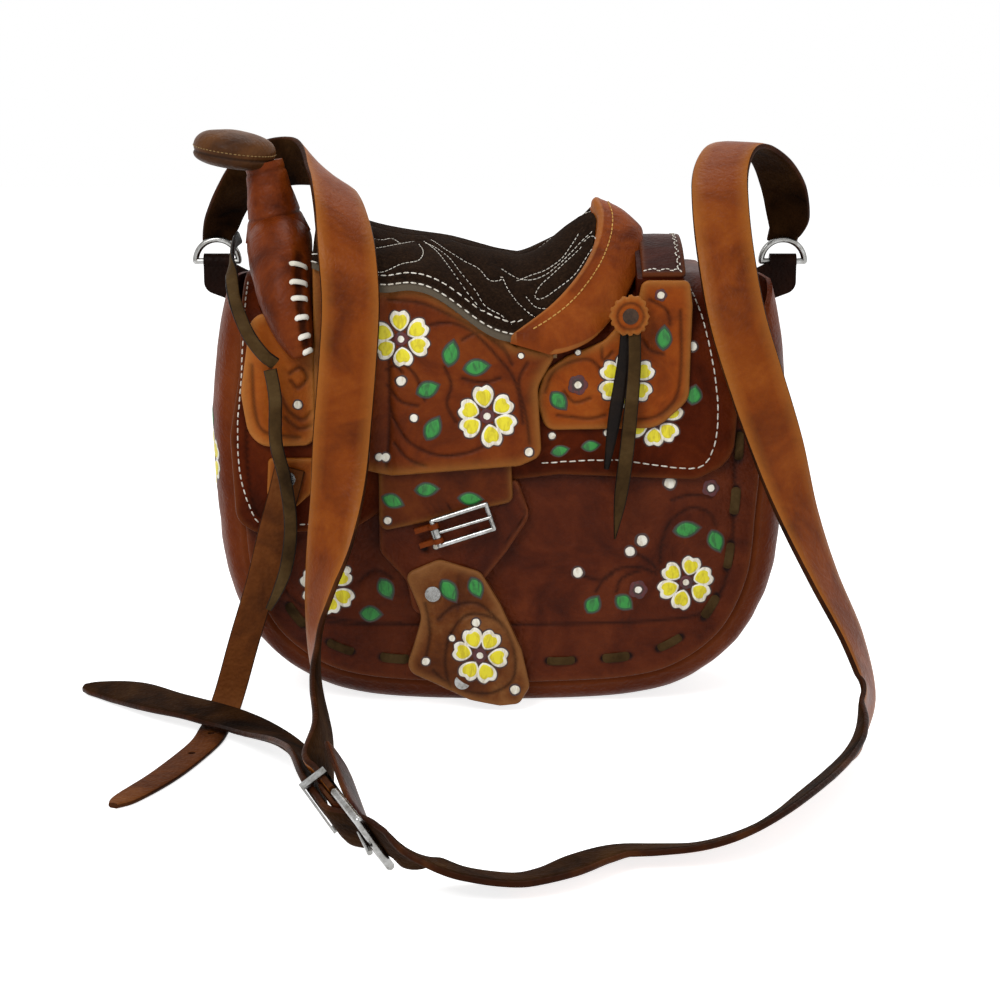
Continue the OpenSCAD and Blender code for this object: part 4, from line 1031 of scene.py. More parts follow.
def saddle_z(x, y):
    """Height of the seat's upper face over the plan."""
    low = np.interp(np.minimum(x, TROUGH_X), SEAT_RIDGE[:, 0], SEAT_RIDGE[:, 1]) - side_drop(x, y)
    foot = np.interp(TROUGH_X, SEAT_RIDGE[:, 0], SEAT_RIDGE[:, 1]) - side_drop(TROUGH_X, y)
    share = np.clip((x - TROUGH_X) / (rim_x(y) - TROUGH_X), 0, 1) ** 1.3
    return np.where(x <= TROUGH_X, low, foot + (rim_z(y) - foot) * share)


JOCKEY_SCROLLS = (((-50.2, 193.5), (-35.9, 192.1), (-22.5, 186.7), (-9.9, 179.9), (2, 171)),
                  ((-31.5, 182.2), (-22.5, 183.1), (-13.5, 179.9), (-5.9, 173.1), (0.0, 166.3), (5.4, 159.5),
                   (8.6, 150.3), (10.5, 137)),
                  ((-17.1, 175.4), (-9.0, 178.6), (0.0, 174.0), (5.5, 164.3)),
                  ((-50.5, 148.0), (-47.9, 138.8), (-40.9, 128.3), (-28.3, 122.6), (-15.9, 123.4),
                   (-6.8, 127)),
                  ((-51.0, 154.9), (-45.3, 147.6), (-37.2, 145.3)),
                  ((-51.4, 161.7), (-47.4, 163.6), (-44.1, 160.4)),
                  ((-44, 165), (-38, 159), (-34, 148)), ((-25, 163), (-22, 155), (-24, 146), (-20, 138)),
                  ((-17, 158), (-8, 156), (0, 158)),
                  ((-50.4, 178), (-50.0, 148.0), (-50.6, 129.6), (-52.0, 116.0)),
                  ((-48, 128), (-42, 121), (-34, 117.5)), ((12.5, 165), (8.5, 156), (12, 140), (13.5, 128)))
seat_line = [(x, float(saddle_z(x, SEAT_JOCKEY_FACE)) - PAD_THICK - 1.6) for x in np.arange(-84, 1, 4.0)]
seat_jockey_outline = np.vstack([seat_line,
                                 rounded([(8, 173, 3), (17, 170.5, 6), (26, 170, 3), (17, 154, 12),
                                          (19, 122, 6), (9, 117.5, 6), (-50, 112.8, 8), (-84, 121, 0)])])


def jockey_swell(spots):
    """The seat jockey bellies out a little and curls away from the saddle at its lower edge."""
    x, z = spots[:, 0], spots[:, 1]
    belly = np.exp(-(((x + 20) / 34) ** 2 + ((z - 152) / 26) ** 2)) * 1.3
    curl = 0.8 * eased((128 - z) / 12)
    hollow = -0.9 * np.exp(-((x + 50.4) / 3.0) ** 2)
    return belly + curl + hollow + wrinkle(spots, 12, 6.6) * 0.25


seat_jockey = Hide(seat_jockey_outline, facing_front(SEAT_JOCKEY_FACE), SHEET, JOCKEY_SCROLLS, 0.8, 0.75,
                   jockey_swell)
seat_jockey.sheet("seat_jockey_leather", brown_hide, "flap", 1.0, ("seat_jockey",), "brown_leather",
                  rim_width=3.4)
painted("seat_jockey_paint", seat_jockey, "flap",
        flower((-44.6, 175.8), 13.2, 96) + flower((-5.9, 140.7), 14.0, 98) + leaf((-22.1, 169.5), 78, 12)
        + leaf((-10.4, 163.1), 8, 12) + leaf((-32.5, 153.1), 22, 11) + leaf((-30.4, 135.1), 62, 12)
        + dot((-44.7, 156.7), 2.2) + dot((-39.0, 139.8), 1.8) + dot((-55.0, 121.8), 1.7)
        + dot((-52.0, 121.6), 1.9)
        + dot((13.2, 124.1), 1.9) + dot((9.5, 168.2), 1.3))

front_jockey = Hide(rounded([(-112, 190, 8), (-118, 150, 20), (-114, 125, 12), (-84, 126, 6),
                             (-84, 178, 6)]),
                    facing_front(JOCKEY_FACE), SHEET,
                    (((-95.3, 159.3), (-90.6, 162.0), (-87.4, 157.4), (-91.6, 152.7), (-95, 156)),
                     ((-112.4, 163.0), (-111.5, 142.6), (-107.1, 132.4), (-91.2, 129.7)),
                     ((-100, 150), (-96, 142), (-90, 138), (-86, 141)), ((-98, 139), (-92, 134), (-86, 135)),
                     ((-108, 172), (-104, 164), (-104, 150), (-100, 136))), 0.9, 0.8,
                    lambda spots: np.exp(-((spots[:, 0] + 108) / 4) ** 2) + wrinkle(spots, 10, 9.1) * 0.3)
bright_hide = leather("front_jockey_hide", (120, 56, 8), (158, 84, 20), (178, 102, 36), 0.9, 0.8, 0.42,
                      (176, 112, 52))
front_jockey.sheet("front_jockey_leather", bright_hide, "flap", 1.0, ("front_jockey",), "tan_leather",
                   rim_width=3.0)
painted("front_jockey_paint", front_jockey, "flap", dot((-91.9, 144.9), 1.9))

rear_jockey = Hide(rounded([(30, 167, 6), (20, 160, 10), (16, 147, 14), (21, 133, 6), (72, 134, 16),
                            (86, 147, 10),
                            (87, 190, 10), (85.5, 201.5, 3), (64, 201.5, 4), (62, 190, 10), (47, 174, 10)]),
                   facing_front(JOCKEY_FACE), SHEET,
                   (((20.4, 150.8), (24.0, 160.0), (31.7, 164.6), (40.8, 165.5), (46.7, 160.0)),
                    ((55.2, 137.9), (70.8, 139.3), (80.0, 148.1), (82.2, 165.0), (81.5, 188)),
                    ((67.6, 192.8), (75.0, 188.3), (76.9, 181.5)),
                    ((46.2, 171.4), (46.7, 165.5), (51.1, 169.1)),
                    ((26, 140), (40, 138.5), (48, 140)), ((29, 151), (34, 146), (41, 148)),
                    ((64, 175), (68, 170), (74, 168))), 0.8, 0.75, crumpled(12, 4.3, 0.3))
warm_hide = leather("rear_jockey_hide", (100, 42, 4), (146, 70, 12), (164, 88, 24), 0.9, 0.9, 0.42,
                    (156, 98, 42))
rear_jockey.sheet("rear_jockey_leather", warm_hide, "flap", 1.0, ("rear_jockey",), "brown_leather",
                  rim_width=2.6)
painted("rear_jockey_paint", rear_jockey, "flap",
        flower((57.6, 155.9), 13.0, 90) + leaf((26.8, 146.7), -50, 10, 7) + leaf((74.1, 175.6), 88, 11, 7)
        + dot((35.3, 168.9), 1.2) + rosette_spot((72.5, 195.0), 3.0) + rosette_spot((35.4, 154.1), 4.8))


# Seat: dark brown suede over thin padding, quilted with scrolls of white thread. Its
# lower edge is pinked, sewn down with two rows, and lies over the seat jockey.
SEAT_FRONT = -55.5
SEAT_BACK = 36.0
SEAT_LEFT = -84.0
RIM_GAP = 2.5
SEAT_ROWS = 110
SEAT_COLS = 150
QUILTING = (((-56, -33), (-46, -25), (-36, -18), (-25, -28), (-18, -38), (-11, -44), (-7, -48), (0, -49),
             (5, -51)),
            ((-35, -16), (-29, -27), (-23, -38), (-16, -46), (-9, -50)),
            ((-72, -48), (-55, -49), (-45, -44), (-37, -40), (-35, -31), (-37, -23)),
            ((-32, -10), (-25, -22), (-17, -28), (-10, -30), (-5, -35), (0, -33), (1, -31), (4, -38),
             (10, -45), (16, -50), (22, -52), (28, -50)),
            ((1, -25), (7, -29), (14, -32), (21, -31), (27, -27), (33, -22), (38, -18), (42, -16)),
            ((8, -31), (14, -29), (21, -28), (28, -24), (32, -19), (36, -13)),
            ((39, -19), (42, -18), (44, -22), (40, -28), (34, -36), (27, -40), (20, -43), (16, -42),
             (18, -37), (24, -32), (30, -27), (37, -22)),
            ((12, -41), (16, -46), (22, -48), (28, -47)), ((-70, -22), (-56, -24), (-50, -19), (-46, -24)),
            ((-60, 22), (-40, 14), (-24, 24), (-8, 12), (8, 22), (22, 14), (38, 20)),
            ((-60, -2), (-44, -8), (-30, 2), (-14, -6), (2, 4), (16, -4), (30, 4), (42, -2)))
suede, dye = new_skin("brown_suede")
nap = dye.noise(700.0, 5.0, 0.75)
brushed = dye.noise(60.0, 3.0, 0.6, 1.2)
tuft = dye.noise(1500.0, 2.0)
shade = dye.ramp(nap * 0.75 + brushed * 0.25, (0.34, srgb(14, 7, 3)), (0.52, srgb(34, 21, 12)),
                 (0.70, srgb(54, 38, 25)))
shade = dye.mix(dye.mark("groove") * 0.6, shade, srgb(14, 8, 5))
shade = dye.mix(dye.mark("rim") * 0.8, shade, srgb(104, 94, 80))
dye.surface({"Base Color": shade, "Roughness": nap * 0.1 + 0.86,
             "Normal": dye.bump(nap + tuft * 0.6, 0.8, 0.0005), "Specular IOR Level": 0.05})


def seat_spots(spots):
    """Where plan spots of the seat lie, before its padding."""
    x, y = spots[:, 0], spots[:, 1]
    return np.column_stack([x, y, saddle_z(x, y) - 1.0])


def under_padding(spots, lift):
    """The same spots at the foot of the padding, lifted by so much."""
    return seat_spots(spots) - [0, 0, PAD_THICK] + np.column_stack([np.zeros((len(spots), 2)), lift])


def seat_normals(spots):
    step = 0.5
    base = seat_spots(spots)
    right = seat_spots(spots + (step, 0)) - base
    back = seat_spots(spots + (0, step)) - base
    return unit(np.cross(right, back))


quilting = [smooth_line(line, 8) for line in QUILTING]
front_rows = [np.column_stack([np.linspace(-83, 9, 60), np.full(60, y)]) for y in (-54.6, -50.5)]


def padding(spots):
    """Thickness of the seat, full between the rows of quilting and drawn in along them."""
    x, y = spots[:, 0], spots[:, 1]
    left = (x - SEAT_LEFT) / (rim_x(y) - RIM_GAP - SEAT_LEFT)
    deep = (y - SEAT_FRONT) / (SEAT_BACK - SEAT_FRONT)
    edge = (1 - np.abs(2 * deep - 1) ** 7) * (1 - np.maximum(0, 1 - 2 * left) ** 12)
    near = distance_to(spots, quilting)
    pillow = 1.2 * (1 - np.exp(-(near / 5.0) ** 2)) - 0.7 * np.exp(-(near / 0.9) ** 2)
    sewn_down = 0.6 * np.exp(-(distance_to(spots, front_rows) / 0.9) ** 2)
    return 2.3 + (PAD_THICK - 2.9) * edge + (pillow - sewn_down) * np.clip(edge * 2, 0, 1)


deep, left = np.meshgrid(np.linspace(0, 1, SEAT_ROWS), np.linspace(0, 1, SEAT_COLS), indexing="ij")
plan_y = SEAT_FRONT + (SEAT_BACK - SEAT_FRONT) * deep
plan_x = SEAT_LEFT + (rim_x(plan_y) - RIM_GAP - SEAT_LEFT) * left
plan = np.column_stack([plan_x.ravel(), plan_y.ravel()])
bottom = under_padding(plan, np.zeros(len(plan)))
on_flap = np.where(plan[:, 1] < TURN_START, under_flap_top(plan[:, 1]) + 1.3, FLAP_TOP + 1.4)
bottom[:, 2] = np.maximum(bottom[:, 2], on_flap)
top = under_padding(plan, padding(plan))
top[:, 2] = np.maximum(top[:, 2], bottom[:, 2] + 1.2)
stitch_mark = np.exp(-(distance_to(plan, quilting) / 0.8) ** 2)
edge_mark = np.exp(-((plan[:, 1] - SEAT_FRONT) / 0.8) ** 2)
grid = (SEAT_ROWS, SEAT_COLS, 3)
seat = shell("suede_seat", top.reshape(grid), bottom.reshape(grid), suede,
             {"groove": stitch_mark, "rim": np.tile(edge_mark, 2)}, 50, ("seat_pad",), "suede")


def seat_stitches(name, line, pitch, length, width, smoothed=True):
    spots = spaced(smooth_line(line, 8) if smoothed else line, pitch)
    further = spots + tangents(spots) * 0.2
    places = under_padding(spots, padding(spots) + 0.1)
    ahead = unit(under_padding(further, padding(further) + 0.1) - places)
    return beads(name, places, ahead, seat_normals(spots), length, width, white_thread, "flap")


for number, line in enumerate(QUILTING):
    seat_stitches(f"quilting_thread_{number}", line, 2.1, 1.8, 0.5)
for number, line in enumerate(front_rows):
    seat_stitches(f"seat_edge_thread_{number}", line, 3.4, 2.7, 0.9, False)

# Pinked edge: the suede's cut margin below the last row of stitches, in small scallops.
SCALLOP = 4.2
PINKED_PITCH = 0.7
pinked_x = np.linspace(-83, 9, 200)
pinked_run = np.column_stack([pinked_x, saddle_z(pinked_x, SEAT_FRONT) - PAD_THICK + 1.4])
pinked_run = spaced(pinked_run, PINKED_PITCH)
lean_out = inset_of(pinked_run, -1.0) - pinked_run
scallop = 1.1 + 1.5 * np.abs(np.sin(np.arange(len(pinked_run)) * PINKED_PITCH * math.pi / SCALLOP))
pinked_outline = np.vstack([pinked_run - lean_out * 1.0, (pinked_run + lean_out * scallop[:, None])[::-1]])
pinked = Hide(pinked_outline, facing_front(-54.6), 1.2)
pinked.sheet("pinked_edge", suede, "flap", 1.0, back=suede, slot="suede", rim_width=0.6)


# Cantle: the raised back of the seat, covered by one band of tan leather whose rim
# is folded over a welt and sewn through with gold thread.
BAND_BASE = np.array([(-57, 13, 173), (-56, 28, 173), (-50, 44, 179), (-38, 57, 193), (-22, 65, 209),
                      (-8, 66.5, 219), (0, 66, 221), (12, 66, 219), (24, 65, 213), (36, 60, 205)], float)

band_y = smooth_line([(y, 0) for y in np.linspace(-56.5, 36, 17)], 6)[:, 0]
BAND_POINTS = 34
smooth_rim = smooth_line(RIM_LINE, 8)
smooth_base = smooth_line(BAND_BASE, 8)
band_outer = []
band_inner = []
for y in band_y:
    r, b = [np.array([np.interp(y, line[:, 0], line[:, k]) for k in (1, 2)])
            for line in (smooth_rim, smooth_base)]
    out = np.array([b[1] - r[1] - 4, r[0] - b[0] - 2])
    out /= np.linalg.norm(out)
    middle = (r + b) / 2 - 2.5 * out
    corners = [r + (-2.2, -3.5), r + (-1.7, -0.6), r + (0.2, 1.0), r + (2.0, 0.2),
               middle * 0.5 + r * 0.5 - 0.8 * out, middle, middle * 0.45 + b * 0.55 - 0.5 * out, b,
               b + (-1.5, -3)]
    line = spaced(smooth_line(corners, 5), 0.1)
    line = line[np.linspace(0, len(line) - 1, BAND_POINTS).astype(int)]
    inner_line = line[0] + (line[-1] - line[0]) * np.linspace(0, 1, BAND_POINTS)[:, None] + (-0.5, -0.6)
    band_outer.append(np.insert(line, 1, y, axis=1))
    band_inner.append(np.insert(inner_line, 1, y, axis=1))


def off_the_flap(points, gap=1.2):
    """Points that would lie under the flap leather come up to rest on it."""
    points = points.copy()
    low = TURN_END > points[..., 2]
    points[..., 1] = np.where(low & (points[..., 1] > SKIRT_MID - gap), SKIRT_MID - gap, points[..., 1])
    floor = np.where(points[..., 1] < TURN_START, under_flap_top(points[..., 1]), FLAP_TOP) + gap
    over = points[..., 1] > SKIRT_MID - gap + 0.01
    points[..., 2] = np.where(over & ~low, np.maximum(points[..., 2], floor), points[..., 2])
    return points


THREAD_PITCH = 2.6
band_outer = off_the_flap(np.array(band_outer))
band_inner = off_the_flap(np.array(band_inner))
band_rim = np.zeros(band_outer.shape[:2])
band_rim[:, :7] = 0.7
band_rim[:, -3:] = 0.8
shell("cantle_band_leather", band_outer, band_inner, tan_hide, {"groove": (), "rim": band_rim}, 60,
      ("cantle_band",), "tan_leather")
thread_run = spaced(band_outer[2:-2, 11], THREAD_PITCH)
thread_ahead = tangents(thread_run)
beside = spaced(band_outer[2:-2, 13], THREAD_PITCH)
beside = beside[np.linspace(0, len(beside) - 1, len(thread_run)).astype(int)] - thread_run
thread_out = np.cross(thread_ahead, beside)
thread_out = unit(thread_out * np.sign((thread_out * (1.0, -0.6, -0.1)).sum(1))[:, None])
beads("cantle_stitching", thread_run + thread_out * 0.1, thread_ahead, thread_out, 2.1, 0.7,
      thread("gold_thread", (164, 112, 40), (214, 168, 84)), "flap")


# Rear plate: a dark leather that wraps over the saddle behind the cantle, with a
# scalloped row of white stitches along its borders.
CROWN = smooth_line([(-45.8, 202), (-24, 211.5), (0, 215.5), (24, 211), (40, 202)], 12)
crown_run = run_along(CROWN)
CROWN_LENGTH = float(crown_run[-1])
crown_lean = tangents(CROWN)


def over_crown(spots, out):
    """Lies over the back of the saddle, from front to rear."""
    x, v = spots[:, 0], spots[:, 1]
    y = np.interp(v, crown_run, CROWN[:, 0])
    z = np.interp(v, crown_run, CROWN[:, 1])
    lean_y = -np.interp(v, crown_run, crown_lean[:, 1])
    lean_z = np.interp(v, crown_run, crown_lean[:, 0])
    lift = out + SHEET / 2
    return np.column_stack([x, y + lean_y * lift, z + lean_z * lift])


rear_plate = Hide(rounded([(64.2, 1, 0), (84, 1, 3), (84, CROWN_LENGTH - 1, 3),
                           (64.2, CROWN_LENGTH - 1, 0)]),
                  over_crown, swell=crumpled(9, 2.6, 0.2))
rear_plate.sheet("rear_plate_leather", dark_hide, "flap", 1.1, ("rear_plate",), "dark_leather")
WAVE_DEEP = 1.9
WAVE_LONG = 6.0


def scalloped(run):
    return WAVE_DEEP * np.abs(np.sin(run * math.pi / WAVE_LONG))


side_run = 3.0 + np.arange(0, 1, 0.02) * (CROWN_LENGTH - 8)
low_run = np.arange(65.5, 80.5, 1.25)
side_row = np.column_stack([79.6 + scalloped(side_run), side_run])
low_row = np.column_stack([low_run, 3.0 + scalloped(low_run)])
sewn("rear_plate_stitching", rear_plate, side_row, "flap", 2.3, 1.9, 0.7)
sewn("rear_plate_lower_stitching", rear_plate, low_row, "flap", 2.2, 1.8, 0.7)


# Fork: the padded swell below the horn, closed at the front by white lace over the
# open seam. Above it the neck leather leans out to the flat oval cap of the horn.
FORK_LINE = smooth_line([(-88.3, -55.5, 168), (-92, -54, 177), (-96, -48.5, 190), (-98.8, -38, 204),
                         (-101, -24, 213), (-102.5, -6, 214.5), (-103.5, 14, 212), (-103.5, 32, 206.5)], 12)
SWELL = 15.0
white_lace = leather("white_lace", (206, 198, 180), (236, 230, 216), (250, 247, 238), 0.6, 0.3, 0.5)


def fork_radius(share):
    swelling = 0.28 + 0.72 * math.sin(math.pi / 2 * min(1.0, share / 0.6))
    return SWELL * swelling * (1 - 0.45 * float(eased((share - 0.72) / 0.28)))


fork_shares = np.linspace(0, 1, len(FORK_LINE))
fork_ahead = tangents(FORK_LINE)
FORK_FACE = np.array([0.65, -0.8, 0.25])
fork_out = unit(FORK_FACE - (fork_ahead @ FORK_FACE)[:, None] * fork_ahead)
fork_side = np.cross(fork_ahead, fork_out)
FORK_SIDES = 64
turns = turns_of(FORK_SIDES)
seam_gap = np.minimum(turns, 2 * math.pi - turns)
fork_points = []
fork_groove = []
for place, out, side, share in zip(FORK_LINE, fork_out, fork_side, fork_shares):
    reach = fork_radius(share)
    if share < 0.02:
        reach *= 0.6
    in_seam = eased((share - 0.03) / 0.05) * (1 - eased((share - 0.42) / 0.05))
    seam = np.exp(-(seam_gap * reach / 2.4) ** 4) * in_seam
    spot = place / 9
    ring = np.array([0.35 * noise.noise((spot[0] + 2 * math.cos(a), spot[1], spot[2] + 2 * math.sin(a)))
                     for a in turns])
    pucker = 0.5 * math.sin(share * 150) * np.exp(-(seam_gap * reach / 5) ** 2) * in_seam
    crease = -0.25 * math.exp(-((share - 0.58) / 0.008) ** 2)
    r = reach - 0.9 * seam + (ring + pucker + crease) * min(1.0, reach / 8)
    fork_points.append(place + (np.cos(turns) * r)[:, None] * out + (np.sin(turns) * r)[:, None] * side)
    fork_groove.append(np.clip(seam * 1.1, 0, 1.2))
JOCKEY_BACK = -48.6
fork_points = off_the_flap(np.vstack(fork_points), 1.3)
fork_points[(fork_points[:, 1] > JOCKEY_BACK) & (fork_points[:, 2] < 190.5), 1] = JOCKEY_BACK
make("fork_leather", fork_points, ring_faces(len(FORK_LINE), FORK_SIDES), [brown_hide], "flap", None,
     {"groove": fork_groove, "rim": ()}, 75, ("fork_cover",))
LACE_BARS = ((0.047, 5.0), (0.123, 6.2), (0.209, 7.0), (0.279, 8.6), (0.337, 9.6), (0.393, 10.2))
lace_bars = []
for number, (share, wide) in enumerate(LACE_BARS):
    k = int(share * (len(FORK_LINE) - 1))
    reach = fork_radius(share)
    bar = []
    for part in np.linspace(-1, 1, 9):
        a = part * wide / 2 / reach
        lift = reach + 0.35 - 1.3 * abs(part) ** 6
        bar.append(FORK_LINE[k] + lift * (math.cos(a) * fork_out[k] + math.sin(a) * fork_side[k]))
    lace_bars.append(strip(f"fork_lace_{number}", [(p, fork_ahead[k], 2.5) for p in bar], 1.0, 3, None,
                           [white_lace] * 3, 0.3, -1, pitch=0.8))
joined("fork_white_lace", lace_bars, "flap", ("fork_lacing",))

HORN_FOOT = np.array([-102.5, -13.0, 218.0])
HORN_TOP = np.array([-108.8, -12.0, 252.0])
CAP_AT = np.array([-122.0, -12.0, 258.0])
CAP_LONG = 38.0
CAP_WIDE = 30.0
CAP_THICK = 16.5
NECK_RINGS = 40
NECK_SIDES = 40
neck = []
neck_mark = []
for share in np.linspace(0, 1, NECK_RINGS):
    place = HORN_FOOT + (HORN_TOP - HORN_FOOT) * share
    reach = 12.4 - 3.8 * share + 2.8 * (1 - share) ** 3
    crease = -0.6 * math.exp(-((share - 0.28) / 0.02) ** 2) - 0.5 * math.exp(-((share - 0.88) / 0.02) ** 2)
    for a in turns_of(NECK_SIDES):
        bumpy = 0.45 * noise.noise((math.cos(a) * 1.6, math.sin(a) * 1.6, share * 5))
        neck.append(place + (reach + crease + bumpy)
                    * np.array([math.cos(a), math.sin(a), 0.2 * math.cos(a)]))
        neck_mark.append(min(1.0, -crease * 0.8))
make("horn_neck_leather", neck, ring_faces(NECK_RINGS, NECK_SIDES), [brown_hide], "flap", None,
     {"groove": neck_mark, "rim": ()}, 75, ("horn_neck_cover",))

CAP_SIDES = 72
SEAM_HEIGHT = -0.16
CAP_LAYERS = ((-0.50, 0.02), (-0.50, 0.45), (-0.46, 0.72), (-0.36, 0.92), (-0.24, 0.985),
              (SEAM_HEIGHT, 0.965),
              (-0.10, 0.985), (0.02, 1.0), (0.15, 0.97), (0.28, 0.88), (0.38, 0.74), (0.45, 0.55),
              (0.49, 0.32), (0.50, 0.02))
cap_profile = smooth_line(CAP_LAYERS, 4)
tip_x = math.radians(4)
tip_y = math.radians(8)


def on_cap(x, y, z):
    """A place on the cap, in its own directions, tipped as it sits on the neck."""
    y, z = y * math.cos(tip_x) - z * math.sin(tip_x), y * math.sin(tip_x) + z * math.cos(tip_x)
    x, z = x * math.cos(tip_y) + z * math.sin(tip_y), -x * math.sin(tip_y) + z * math.cos(tip_y)
    return CAP_AT + (x, y, z)


cap_points = []
cap_mark = []
for height, reach in cap_profile:
    for a in turns_of(CAP_SIDES):
        x = CAP_LONG / 2 * reach * math.cos(a)
        y = CAP_WIDE / 2 * reach * math.sin(a)
        dent = 0.4 * noise.noise((x / 9, y / 9, height * 2)) if height > 0 else 0.0
        cap_points.append(on_cap(x, y, height * CAP_THICK + dent))
        seam = math.exp(-((height - SEAM_HEIGHT) / 0.05) ** 2) if reach > 0.9 else 0.0
        cap_mark.append(max(seam, 0.45 if height < SEAM_HEIGHT else 0.0))
cap_hide = leather("horn_cap_hide", (60, 34, 14), (94, 58, 28), (118, 78, 42), 1.0, 1.0, 0.42)
make("horn_cap_leather", cap_points, ring_faces(len(cap_profile), CAP_SIDES), [cap_hide], "flap", None,
     {"groove": cap_mark, "rim": ()}, 75, ("horn_cap",))
STITCH_REACH = 0.985
CAP_STITCHES = 60
cap_turns = turns_of(CAP_STITCHES)
cap_ring = np.array([on_cap((CAP_LONG / 2 * STITCH_REACH) * math.cos(a),
                            (CAP_WIDE / 2 * STITCH_REACH) * math.sin(a),
                            -0.02 * CAP_THICK) for a in cap_turns])
cap_out = unit(np.array([(math.cos(a) / CAP_LONG, math.sin(a) / CAP_WIDE, 0.0) for a in cap_turns]))
cap_along = unit(np.roll(cap_ring, -1, axis=0) - np.roll(cap_ring, 1, axis=0))
beads("horn_cap_stitching", cap_ring + cap_out * 0.35, cap_along, cap_out, 1.3, 0.55,
      thread("dull_gold_thread", (104, 76, 36), (150, 118, 66)), "flap")


# Fender and stirrup: the leathers that would carry the rider's foot. The upper one
# comes out from under the seat jockey, and the stirrup's two leathers clasp the lower.
fender_upper = Hide(rounded([(-55.5, 122, 0), (5, 122, 0), (6, 100, 4), (-10, 96.5, 8), (-32, 91, 8),
                             (-55.5, 86, 4)]),
                    facing_front(FENDER_FACE), SHEET, [((-24, 99), (-22, 95), (-24, 92))], 0.6, 0.4,
                    crumpled(14, 7.7, 0.25, -0.25))
fender_hide = leather("fender_hide", (60, 20, 2), (96, 40, 8), (114, 55, 15), 0.9, 0.9, 0.42, (126, 78, 34))
fender_top = fender_upper.sheet("fender_upper_leather", fender_hide, None, 1.2, rim_width=1.8,
                                slot="brown_leather")
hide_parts("fender_upper")
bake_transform(fender_top)
painted("fender_paint", fender_upper, "fender",
        leaf((-33.4, 106.0), 4, 11, 6.4) + leaf((-49.0, 100.6), -22, 10.5, 6.4)
        + leaf((-13.4, 101.6), -4, 11.5, 6)
        + dot((-51.5, 91.4), 1.7))


class PiercedLeather(LacedPanel):
    """A leather with a punched hole, sunk partway and darkened with painted shade."""

    slot_radius = 2.1


fender_lower = PiercedLeather(rounded([(-55.5, 110, 0), (8, 110, 4), (14, 93, 8), (3, 76, 10), (-8, 62, 4),
                                       (-14, 46, 6), (-40, 46, 6), (-43, 62, 8), (-55.5, 76, 8)]),
                              facing_front(JOCKEY_FACE), SHEET, [((9, 106), (11.5, 94), (2, 80))], 0.5, 0.7,
                              crumpled(15, 2.8, 0.3, -0.3))
fender_lower.slots = np.array([(-35.0, 78.0)])
fender_lower.sheet("fender_lower_leather", red_hide, "fender", 1.2, ("fender_lower",), "mahogany_leather")
painted("fender_lower_paint", fender_lower, "fender", dot((-29.5, 78.6), 1.3))

STIRRUP_BACK_FACE = -45.5
stirrup_outline = rounded([(-44, 66, 4), (-28, 73, 6), (-9, 67, 6), (0, 52, 10), (10, 30, 10), (14, 12, 5),
                           (9, 4, 4), (0, 3.2, 4), (-14, 6, 8), (-44, 20, 6), (-40, 32, 12), (-36, 46, 12)])


def stirrup_swell(spots):
    """Blocked leather: domed over the foot's place, with folds down its left side."""
    x, z = spots[:, 0], spots[:, 1]
    dome = 3.4 * np.exp(-(((x + 10) / 14) ** 2 + ((z - 30) / 19) ** 2))
    folds = 0.7 * np.sin((x * 0.9 + z * 0.12) * 0.55) * np.exp(-(((x + 32) / 8) ** 2 + ((z - 34) / 16) ** 2))
    curl = 1.2 * eased((10 - z) / 8)
    return dome + folds + curl + wrinkle(spots, 9, 5.5) * 0.35


stirrup = Hide(stirrup_outline, facing_front(FENDER_FACE), SHEET,
               (((-23.3, 12), (-25.5, 24), (-22.8, 38), (-13.9, 47.4), (0.0, 43.6), (6.5, 30.2), (6, 16),
                 (-4, 9.5), (-16, 10)),
                ((-28.7, 44.6), (-20.8, 51.3), (-9.2, 52.0), (2.3, 40.8)),
                ((-34.6, 52.3), (-32.5, 38), (-34.8, 24.5)), ((-31, 20), (-27, 16), (-24, 15))), 0.8, 0.7,
               stirrup_swell)
# The stirrup's front is a paler, yellower copy of the mahogany leather: painted highlight lifts its whole
# colour.
highlit_stirrup_hide = leather("highlit_stirrup_hide", (70, 30, 8), (112, 62, 26), (146, 98, 54), 1.3, 1.5, 0.42,
                       (140, 92, 50))
stirrup.sheet("stirrup_front_leather", highlit_stirrup_hide, "stirrup", 1.0, ("stirrup_front",), "mahogany_leather",
              rim_width=2.4)
stirrup_rear = Hide(stirrup_outline, facing_front(STIRRUP_BACK_FACE), swell=crumpled(9, 1.5, 0.2))
stirrup_rear.sheet("stirrup_back_leather", dark_hide, "stirrup", 1.6, ("stirrup_back",), "dark_leather")
painted("stirrup_paint", stirrup, "stirrup",
        flower((-9.3, 28.3), 13.6, 112) + leaf((-23.5, 58.4), -58, 12, 7.6)
        + leaf((-11.1, 59.8), -66, 10.5, 6.8)
        + dot((-11.1, 43.7), 1.9) + dot((-22.2, 36.0), 1.5) + dot((-34.4, 24.5), 1.8)
        + dot((7.0, 11.0), 2.2))


